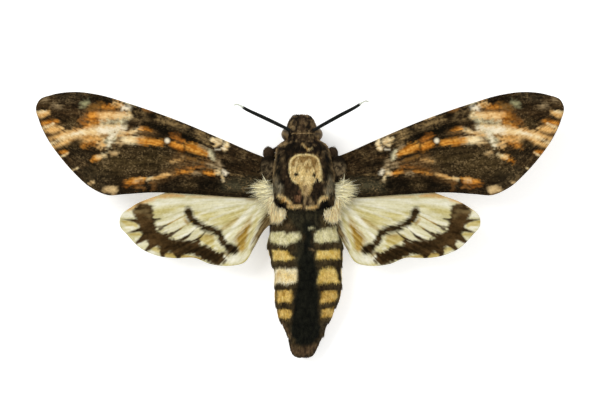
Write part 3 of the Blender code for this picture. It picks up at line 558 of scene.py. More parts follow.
def paint_abdomen(canvas):
    """Dark rings and a black stripe down the back, with six rows of pale patches between them."""
    canvas.stroke(
        RING_BROWN, [(1.0, 2.0, 6.0), (1.6, -4.0, 9.0), (1.6, -16.0, 8.0), (1.0, -30.0, 4.0)], 0.5, 0.0,
    )
    for left_colour, right_colour, left, right in ABDOMEN_ROWS:
        canvas.patch(left_colour, left, 0.5, 0.35)
        canvas.patch(right_colour, right, 0.5, 0.35)
    canvas.stroke(BONE_LIGHT, [(-3.2, -11.9, 0.9), (-1.7, -11.7, 0.5)], 1.2, 0.4, 0.9)
    canvas.stroke(OCHRE_BAND, [(-4.9, -10.9, 0.3), (-5.0, -12.6, 0.3)], 0.8, 0.4, 0.7)
    canvas.stroke(OCHRE_BAND, [(6.8, -11.4, 0.6), (5.6, -12.4, 0.5)], 1.2, 0.4, 0.7)
    canvas.stroke(OCHRE_BAND, [(-4.4, -6.6, 0.5), (-3.4, -6.8, 0.4)], 0.9, 0.4, 0.6)
    for x, y in ((-3.4, -16.8), (-3.4, -20.6), (7.9, -16.4), (7.0, -20.2)):
        canvas.stroke(MAIZE, [(x - 0.5, y, 0.35), (x + 0.5, y, 0.35)], 0.8, 0.4, 0.8)
    canvas.stroke(ASHEN, [(1.3, 2.2, 4.2), (1.6, 0.6, 3.2), (1.7, -0.6, 2.0)], 1.2, 0.7, 0.85)
    canvas.stroke(ASHEN, [(0.6, -5.2, 1.6), (0.2, -8.6, 1.3)], 1.2, 0.7, 0.9)
    canvas.stroke(ASHEN, [(3.4, -9.2, 0.6), (3.6, -11.0, 0.5)], 1.0, 0.5, 0.8)
    canvas.stroke(
        STRIPE, [(1.8, -0.4, 1.2), (1.9, -3.0, 0.9), (1.8, -6.0, 1.2), (1.6, -9.0, 1.8), (1.7, -12.0, 2.0)],
        0.9, 0.5,
    )
    canvas.stroke(
        STRIPE,
        [(1.7, -12.0, 2.0), (1.5, -16.0, 2.8), (1.4, -20.0, 3.0), (1.2, -24.0, 3.6), (1.1, -25.6, 2.6)],
        0.9, 0.5,
    )
    canvas.stroke(COCOA, [(-2.6, -0.6, 0.5), (-1.0, -1.4, 0.3)], 0.8, 0.5, 0.5)
    canvas.stroke(LICHEN, [(2.3, -0.9, 0.35), (3.1, -0.8, 0.35)], 0.4, 0.3, 0.9)
    canvas.stroke(TAN, [(2.2, -5.5, 0.15), (3.0, -5.9, 0.2)], 0.3, 0.2, 0.7)
    canvas.stroke(COCOA, [(-2.4, -28.6, 0.7), (0.8, -29.4, 1.1), (3.6, -28.2, 0.8)], 0.9, 0.5, 0.9)
    canvas.stroke(TAN, [(-2.6, -25.6, 0.25), (-3.0, -27.0, 0.2)], 0.5, 0.3, 0.7)
    canvas.stroke(COCOA, [(-2.2, -25.2, 0.2), (-4.2, -22.6, 0.3)], 0.5, 0.3, 0.8)


def face_grid(rows, columns, closed):
    """Quads between rows of points, joined round where closed."""
    last = columns if closed else columns - 1
    row, column = np.meshgrid(np.arange(rows - 1), np.arange(last), indexing="ij")
    here = (row * columns + column).ravel()
    after = (row * columns + (column + 1) % columns).ravel()
    return np.stack([here, after, after + columns, here + columns], axis=1).tolist()


def make_mesh(name, points, faces):
    """A mesh from points in millimetres, with its faces turned outwards and shaded smooth."""
    mesh = bpy.data.meshes.new(name)
    mesh.from_pydata((np.asarray(points) * MM).tolist(), [], faces)
    shape = bmesh.new()
    shape.from_mesh(mesh)
    bmesh.ops.recalc_face_normals(shape, faces=shape.faces)
    shape.to_mesh(mesh)
    shape.free()
    mesh.shade_smooth()
    return mesh


def sleeve(rings):
    """Points and faces of a closed skin through rings of points, drawn together to a point at each end."""
    count, around = rings.shape[:2]
    points = np.concatenate([rings.reshape(-1, 3), [rings[0].mean(axis=0)], [rings[-1].mean(axis=0)]])
    faces = face_grid(count, around, True)
    front, rear = count * around, count * around + 1
    last = (count - 1) * around
    for k in range(around):
        after = (k + 1) % around
        faces.append((front, after, k))
        faces.append((rear, last + k, last + after))
    return points, faces


def lay(mesh, name, values, kind="FLOAT", domain="POINT"):
    """Lays numbers, vectors or colours on a mesh under a name."""
    old = mesh.attributes.get(name)
    if old is not None:
        mesh.attributes.remove(old)
    field = {"FLOAT": "value", "FLOAT_VECTOR": "vector", "FLOAT_COLOR": "color"}[kind]
    mesh.attributes.new(name, kind, domain).data.foreach_set(field, np.asarray(values, np.float32).ravel())


HAIR_REACH = 0.35
ring_places = np.arange(BODY_FRONT, BODY_REAR, -BODY_STEP)
ring_angles = np.linspace(0, 2 * np.pi, BODY_POINTS_ROUND, endpoint=False)
ring_y, ring_angle = np.meshgrid(ring_places, ring_angles, indexing="ij")
body_rings = body_surface(ring_y, ring_angle, body_rise(ring_y, ring_angle))
body_points, body_faces = sleeve(body_rings)
body_mesh = make_mesh("body_skin", body_points, body_faces)
body = put_in_scene("body_skin", body_mesh)

skin_y = np.append(ring_y.ravel(), [BODY_FRONT, BODY_REAR])
skin_angle = np.append(ring_angle.ravel(), [0.0, 0.0])
skin_x = body_points[:, 0]
skin_wander = ragged(skin_x, skin_y, 0.8, 21) * 0.6 + ragged(skin_x, skin_y, 0.33, 22) * 0.4
skin_grain = ragged(skin_x * 3, skin_y, 1.2, 23) * 0.5 + ragged(skin_x, skin_y, 0.4, 24) * 0.6
head_front = rise_between(20.7, 21.3, skin_y)
shown_y = skin_y - HAIR_REACH * (1 - 2 * head_front)
body_canvas = Canvas(skin_x, shown_y, PELT, skin_wander, skin_grain)
paint_abdomen(body_canvas)
front_canvas = Canvas(skin_x, shown_y, PELT, skin_wander, skin_grain)
paint_thorax(front_canvas)
paint_head(front_canvas)
paint_skull(front_canvas)
# Each pale row of the abdomen runs on down the side, under the edge that shows from above
side_canvas = Canvas(-10 * np.sin(skin_angle), shown_y, RING_BROWN, skin_wander, skin_grain)
for colour, _, left, _ in ABDOMEN_ROWS[1:]:
    levels = [y for _, y in left]
    top, low = max(levels) - 0.1, min(levels) + 0.1
    half = (top - low) / 2
    side_canvas.stroke(colour, [(-3, top - half, half), (4, top - half, half * 0.9)], 0.6, 0.5)
side_share = rise_between(0.24, 0.04, np.sin(skin_angle))[:, None]
body_canvas.laid = body_canvas.laid * (1 - side_share) + side_canvas.laid * side_share
front_share = rise_between(2.9, 3.5, shown_y + 0.4 * ragged(skin_x, skin_y, 1.0, 3))[:, None]
body_colours = body_canvas.laid * (1 - front_share) + front_canvas.laid * front_share
# The belly is duller, with a brown ring at each plate's edge
belly_share = rise_between(-0.2, -0.8, np.sin(skin_angle) + 0.2 * skin_wander)[:, None] * (1 - front_share)
plates_passed = np.interp(-skin_y, [-p for p in PLATE_REAR_EDGES], range(len(PLATE_REAR_EDGES)))
ring_shade = 0.5 + 0.5 * np.cos(2 * np.pi * plates_passed)[:, None]
belly = np.array(BELLY) * (1 - 0.75 * ring_shade**3) + np.array(RING_BROWN[0]) * 0.75 * ring_shade**3
body_colours = body_colours * (1 - belly_share) + belly * belly_share
under_share = rise_between(-0.1, -0.5, np.sin(skin_angle))[:, None] * front_share
body_colours = body_colours * (1 - under_share) + np.array(shade(104, 84, 58)) * under_share
body_colours[:, 3] = 1.0
lay(body_mesh, "coat_colour", body_colours, "FLOAT_COLOR")
skin_part = (skin_y - BODY_REAR) / (BODY_FRONT - BODY_REAR)
root_uv = np.stack([skin_angle / (2 * np.pi), skin_part, 0 * skin_y], axis=1)
lay(body_mesh, "root_uv", root_uv, "FLOAT_VECTOR")


def lay_unwrap(mesh, columns):
    """The skin's own unwrap, from the same places as its hairs, closed along the seam."""
    corners = np.zeros(len(mesh.loops), int)
    mesh.loops.foreach_get("vertex_index", corners)
    places = np.zeros(len(mesh.vertices) * 3, np.float32)
    mesh.attributes["root_uv"].data.foreach_get("vector", places)
    uv = places.reshape(-1, 3)[corners][:, :2]
    starts = np.zeros(len(mesh.polygons), int)
    counts = np.zeros(len(mesh.polygons), int)
    mesh.polygons.foreach_get("loop_start", starts)
    mesh.polygons.foreach_get("loop_total", counts)
    for start, count in zip(starts, counts):
        run = uv[start : start + count, 0]
        if run.max() - run.min() > 0.5:
            run[run < 0.5] += 1.0
    uv[:, 0] *= columns / (columns + 1)
    mesh.uv_layers.new(name="OFBake").data.foreach_set("uv", uv.astype(np.float32).ravel())


lay_unwrap(body_mesh, BODY_POINTS_ROUND)

skin_paint = Paint("skin under the coat")
skin_colour = skin_paint.laid("coat_colour")
skin_fibre = skin_paint.noise(skin_paint.place((6000.0, 1800.0, 4000.0)), 1.0, 3.0)
skin_dark = skin_paint.blend(1.0, skin_colour, skin_paint.grey(0.45 + skin_fibre * 0.7), "MULTIPLY")
skin_looks = {
    "Base Color": skin_dark,
    "Roughness": 0.85,
    "Specular IOR Level": 0.05,
    "Normal": skin_paint.bump(skin_fibre, 0.6, 0.0001),
}
body_mesh.materials.append(skin_paint.surface(skin_looks))
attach(body, "root")
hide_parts("head", "collar", "thorax", "abdomen", "tegula_left", "tegula_right")


# The coat of hair on head, thorax and abdomen
# Short flat hairs, in small tufts, root in the skin and lie back along the body.
# They are longest behind the tegulae and along the plates' rear edges.
TUFT_SIDES = 3
TUFT_ROOT_GIRTH = 0.55
TUFT_SWELL = 1.9
TUFT_UNWRAP = (0.0015, 0.003)
TUFT_LENGTHS = (0.65, 1.2)
TUFT_WIDTHS = (0.7, 1.3)


def coat_rule(name, on_faces):
    """A rule that roots tufts on a skin's faces, or one on each of its points."""
    tree = bpy.data.node_groups.new(name, "GeometryNodeTree")
    rule = Graph(tree)
    tree.interface.new_socket("Skin", in_out="INPUT", socket_type="NodeSocketGeometry")
    for label in ("Tufts per square mm", "Length", "Width", "Flatness", "Lift", "Spread", "Curl"):
        tree.interface.new_socket(label, in_out="INPUT", socket_type="NodeSocketFloat")
    for label in ("Segments", "Seed"):
        tree.interface.new_socket(label, in_out="INPUT", socket_type="NodeSocketInt")
    tree.interface.new_socket("Hair", in_out="INPUT", socket_type="NodeSocketMaterial")
    tree.interface.new_socket("Coat", in_out="OUTPUT", socket_type="NodeSocketGeometry")
    given = rule.add("NodeGroupInput")

    def named(label, kind="FLOAT"):
        return rule.add("GeometryNodeInputNamedAttribute", {"data_type": kind}, {"Name": label})

    def chance(low, high, offset):
        seed = given.other("Seed") + offset
        return rule.add("FunctionNodeRandomValue", {"data_type": "FLOAT"}, {2: low, 3: high, "Seed": seed}, 1)

    def vector(operation, first, second):
        return rule.add("ShaderNodeVectorMath", {"operation": operation}, {0: first, 1: second})

    def stretched(way, length):
        return rule.add("ShaderNodeVectorMath", {"operation": "SCALE"}, {0: way, "Scale": length})

    def stored(geometry, label, value, kind="FLOAT", domain="POINT"):
        sockets = {"Geometry": geometry, "Name": label, "Value": value}
        return rule.add("GeometryNodeStoreNamedAttribute", {"data_type": kind, "domain": domain}, sockets)

    # One tuft: a thin cone of three sides, widest near its root, flattened and bent
    cone = {
        "Vertices": TUFT_SIDES, "Side Segments": given.other("Segments"),
        "Radius Top": 0.0, "Radius Bottom": 1.0, "Depth": 1.0,
    }
    blade = rule.add("GeometryNodeMeshCone", {"fill_type": "NGON"}, cone, "Mesh")
    corner = rule.add("ShaderNodeSeparateXYZ", {}, {0: rule.add("GeometryNodeInputPosition")})
    height = corner.other("Z")
    swell = TUFT_ROOT_GIRTH + height * (1 - height) * TUFT_SWELL
    bent = corner.other("Y") * swell * given.other("Flatness") + height * height * given.other("Curl")
    shaped = rule.add("ShaderNodeCombineXYZ", {}, {0: corner * swell, 1: bent, 2: height})
    blade = rule.add("GeometryNodeSetPosition", {}, {"Geometry": blade, "Position": shaped})
    blade = stored(blade, "along", height)
    patch = rule.add("ShaderNodeCombineXYZ", {}, {0: corner * TUFT_UNWRAP[0], 1: height * TUFT_UNWRAP[1]})
    blade = stored(blade, "patch", patch, "FLOAT_VECTOR")

    if on_faces:
        density = given.other("Tufts per square mm") * 1e6 * named("cover")
        roots = rule.add(
            "GeometryNodeDistributePointsOnFaces",
            {"distribute_method": "RANDOM"},
            {"Mesh": given.other("Skin"), "Density": density, "Seed": given.other("Seed")},
        )
        up = roots.other("Normal")
    else:
        roots = given.other("Skin")
        up = named("up", "FLOAT_VECTOR")
    lie = named("lie", "FLOAT_VECTOR")
    stray = rule.add(
        "FunctionNodeRandomValue",
        {"data_type": "FLOAT_VECTOR"},
        {0: (-1.0, -1.0, -1.0), 1: (1.0, 1.0, 1.0), "Seed": given.other("Seed") + 7},
    )
    way = stretched(stray, given.other("Spread"))
    raised = stretched(up, given.other("Lift"))
    sunk = stretched(up, vector("DOT_PRODUCT", lie, up).other("Value") * -1)
    for part in (lie, raised, sunk):
        way = vector("ADD", way, part)
    turn = rule.add(
        "FunctionNodeAxesToRotation",
        {"primary_axis": "Z", "secondary_axis": "Y"},
        {"Primary Axis": way, "Secondary Axis": up},
    )
    long = given.other("Length") * named("hair") * chance(*TUFT_LENGTHS, 1)
    wide = given.other("Width") * chance(*TUFT_WIDTHS, 2)
    size = rule.add("ShaderNodeCombineXYZ", {}, {0: wide, 1: long, 2: long})
    planted = {"Points": roots, "Instance": blade, "Rotation": turn, "Scale": size}
    coat = rule.add("GeometryNodeInstanceOnPoints", {}, planted)
    coat = stored(coat, "tone", chance(0.0, 1.0, 3), "FLOAT", "INSTANCE")
    coat = rule.add("GeometryNodeRealizeInstances", {}, {"Geometry": coat})
    place = vector("ADD", named("root_uv", "FLOAT_VECTOR"), named("patch", "FLOAT_VECTOR"))
    coat = stored(coat, "OFBake", place, "FLOAT2", "CORNER")
    coat = rule.add("GeometryNodeSetMaterial", {}, {"Geometry": coat, "Material": given.other("Hair")})
    rule.add("NodeGroupOutput", {}, {"Coat": coat})
    return tree


def grow(name, skin, rule, sizes):
    """Grows a coat on a skin by a rule, and gives it as a plain mesh of its own."""
    coat = skin.modifiers.new("coat", "NODES")
    coat.node_group = rule
    for item in rule.interface.items_tree:
        if item.in_out == "INPUT" and item.name in sizes:
            coat[item.identifier] = sizes[item.name]
    seen = bpy.context.evaluated_depsgraph_get()
    mesh = bpy.data.meshes.new_from_object(skin.evaluated_get(seen), depsgraph=seen)
    skin.modifiers.remove(coat)
    for spare in ("lie", "cover", "hair", "patch", "root_uv", "up"):
        if spare in mesh.attributes:
            mesh.attributes.remove(mesh.attributes[spare])
    mesh.name = name
    mesh.shade_smooth()
    return put_in_scene(name, mesh)


def hair_paint(name, root_light, tip_light, roughness, unevenness=0.76):
    """Hair that is darker at its root, each tuft a little lighter or darker than the next."""
    paint = Paint(name)
    along = paint.laid("along", "Fac")
    tone = paint.laid("tone", "Fac")
    light = (root_light + along * (tip_light - root_light)) * (1 - unevenness / 2 + tone * unevenness)
    streak = paint.noise(paint.place((9000.0, 2500.0, 6000.0)), 1.0, 1.0)
    colour = paint.blend(1.0, paint.laid("coat_colour"), paint.grey(light * (0.8 + streak * 0.4)), "MULTIPLY")
    looks = {"Base Color": colour, "Roughness": roughness, "Specular IOR Level": 0.08}
    return paint.surface(looks)


on_skin = coat_rule("tufts on a skin", True)
on_points = coat_rule("tufts on points", False)
fur_paint = hair_paint("short hair", 0.55, 1.5, 0.8)
smooth_fur_paint = hair_paint("smooth short hair", 0.7, 1.3, 0.8, 0.4)

spread_x = np.clip((skin_x - axis_x(skin_y)) / 8.0, -1, 1)
lie = np.stack([0.35 * spread_x, -1.0 + 2.0 * head_front, -0.15 * head_front], axis=1)
lay(body_mesh, "lie", lie, "FLOAT_VECTOR")
skin_tegula = tegula_share(skin_y, skin_angle)[0]
on_skull = rise_between(4.6, 3.6, np.hypot((skin_x - 1.05) * 0.9, (skin_y - 12.0) * 0.75))
hair_length = 0.72 + 0.3 * skin_tegula - 0.2 * on_skull
hair_length = hair_length * (1 - 0.35 * head_front) * (1 - 0.3 * rise_between(-0.2, -0.6, np.sin(skin_angle)))
eye_clear = rise_between(0.6, 1.2, np.hypot(skin_y - 20.7, np.abs(skin_x - axis_x(skin_y)) - 4.1))
lay(body_mesh, "hair", hair_length)
side_cover = 0.45 + 0.55 * rise_between(-0.7, 0.0, np.sin(skin_angle))
lay(body_mesh, "cover", (skin_y > 3.0) * eye_clear * side_cover)
thorax_sizes = {
    "Tufts per square mm": 19.0, "Length": 1.0 * MM, "Width": 0.11 * MM, "Flatness": 0.045, "Lift": 0.30,
    "Spread": 0.24, "Curl": -0.16, "Segments": 2, "Seed": 4, "Hair": fur_paint,
}
thorax_fur = grow("thorax_fur", body, on_skin, thorax_sizes)

at_edge = np.zeros(len(skin_y))
for edge in PLATE_REAR_EDGES[1:]:
    at_edge = np.maximum(at_edge, rise_between(1.2, 0.1, np.abs(skin_y - edge - 0.35)))
under_belly = rise_between(-0.5, -0.9, np.sin(skin_angle))
abdomen_hair = 0.72 + 0.3 * at_edge - 0.35 * rise_between(-28.5, -30.0, skin_y)
lay(body_mesh, "hair", abdomen_hair * (1 - 0.65 * under_belly))
lay(body_mesh, "cover", (skin_y <= 3.2) * (0.5 + 0.5 * rise_between(-0.6, 0.1, np.sin(skin_angle))))
abdomen_sizes = dict(thorax_sizes)
abdomen_sizes.update({
    "Tufts per square mm": 13.0, "Length": 0.9 * MM, "Lift": 0.14, "Spread": 0.14, "Curl": -0.1, "Seed": 9,
    "Hair": smooth_fur_paint,
})
abdomen_fur = grow("abdomen_fur", body, on_skin, abdomen_sizes)
for coat, finish in ((thorax_fur, "body_fur"), (abdomen_fur, "abdomen_fur")):
    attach(coat, "root")


# The forewings
# Each is a stiff thin membrane on raised veins, covered in flat scales of brown, black, ochre and cream.
# The scales' pattern is laid on a fine grid that fans out from the root, as the veins do.
WING_START = 5.0
WING_GRID = 0.2
MARGIN_STEP = 0.05
VEIN_STEP = 1.5
VEIN_TAPER = 0.45
WING_MEMBRANE = 0.14
WING_BLUNT_END = 2.0
COLUMNS_AT_END = 16
VEIN_RISE = 0.13
VEIN_RISE_BELOW = 0.1
VEIN_HALF_WIDTH = 0.2
FOREWING_ROWS = 96
FOREWING_HEIGHT = 9.8
FOREWING_OUTLINE = (
    (4.4, 14.4), (8.7, 15.8), (16.9, 19.3), (27.8, 23.9), (38.7, 27.7), (46.0, 29.8), (51.6, 30.4),
    (56.5, 29.7), (59.2, 28.6), (60.0, 27.0), (59.3, 23.8), (57.3, 19.5), (54.7, 15.8), (51.6, 12.2),
    (47.4, 8.5), (43.6, 6.9), (40.1, 7.1), (34.0, 7.5), (24.0, 7.1), (12.1, 6.3), (4.4, 6.2),
)
FOREWING_VEINS = (
    ((4.4, 12.6), (8.8, 14.9), (16.9, 18.7), (27.8, 23.3), (38.7, 27.1), (46.0, 29.2), (51.6, 29.9)),
    ((4.4, 12.2), (14.0, 16.5), (26.0, 21.8), (33.0, 25.2)),
    ((4.4, 11.4), (14.0, 15.4), (24.0, 19.8), (36.0, 25.4), (44.6, 28.9)),
    ((24.0, 19.8), (32.0, 22.6), (42.0, 26.8), (51.0, 29.9)),
    ((32.0, 22.6), (42.0, 25.6), (57.4, 28.9)),
    ((32.0, 22.6), (45.0, 24.6), (59.5, 25.4)),
    ((32.0, 22.6), (34.0, 21.2), (45.0, 22.0), (58.4, 21.7)),
    ((34.0, 21.2), (34.2, 18.2), (44.0, 18.8), (56.4, 18.1)),
    ((34.2, 18.2), (32.8, 16.2), (42.0, 16.0), (54.3, 15.2)),
    ((32.8, 16.2), (42.0, 13.8), (51.9, 12.5)),
    ((4.4, 10.6), (15.0, 13.2), (25.0, 14.8), (36.0, 12.4), (48.3, 9.2)),
    ((25.0, 14.8), (32.8, 16.2)),
    ((4.4, 9.4), (12.0, 10.2), (26.0, 10.2), (36.0, 8.9), (43.8, 7.3)),
)
SOIL = (shade(24, 17, 8, 0.15), shade(56, 42, 24, 0.4))
TOFFEE = (shade(104, 72, 36, 0.4), shade(190, 142, 84, 0.2))
SOOT_BLACK = shade(16, 12, 6, 0.08)
MOSS = (shade(48, 37, 18, 1.0), shade(86, 70, 41, 1.0))
DUSK = (shade(34, 28, 18, 0.7), shade(72, 62, 43, 0.8))
RUSSET = (shade(48, 34, 18, 0.8), shade(92, 69, 41, 0.9))
BARK = (shade(26, 18, 9, 0.35), shade(62, 46, 27, 0.6))
ASH = (shade(44, 41, 28, 1.0), shade(84, 78, 56, 1.0))
GRAVEL = (shade(62, 47, 27, 1.0), shade(160, 132, 86, 0.8))
TAN_SCALES = (shade(166, 132, 84, 0.6), shade(220, 188, 134, 0.3))
FAWN = (shade(118, 98, 66, 0.7), shade(184, 160, 120, 0.4))
SAGE = shade(162, 158, 116, 0.3)
SAGE_PALE = shade(216, 206, 164, 0.2)
BRONZE = shade(124, 86, 36, 0.4)
RUST = shade(142, 96, 46, 0.3)
WHITE = shade(246, 232, 200, 0.0)
OCHRE = (shade(220, 164, 90, 0.1), shade(250, 206, 136, 0.0))
ORANGE = (shade(174, 102, 24, 0.1), shade(240, 164, 66, 0.0))
DEEP_ORANGE = (shade(118, 72, 26, 0.3), shade(184, 114, 42, 0.1))
GOLD = (shade(176, 108, 30, 0.1), shade(234, 168, 76, 0.0))
PEACH = (shade(212, 154, 78, 0.1), shade(246, 208, 146, 0.0))
CREAM = (shade(250, 228, 178, 0.0), shade(234, 196, 132, 0.05))
LICHEN_SCALES = (shade(224, 214, 172, 0.4), shade(168, 150, 108, 0.7))
# The strokes were placed on enlarged views of the left wing. Of each view: its left and top edge and
# its width, in the photograph's pixels. The broad grounds and the white dot are given in millimetres.
PIXEL = 0.2279
WINGS_MIDDLE = (300, 225.5)
ENLARGED_WIDTH = 1568
APEX_VIEW = (32, 88, 90)
MIDDLE_VIEW = (100, 95, 90)
ROOT_VIEW = (165, 125, 110)
REAR_VIEW = (60, 135, 120)
IN_MILLIMETRES = None
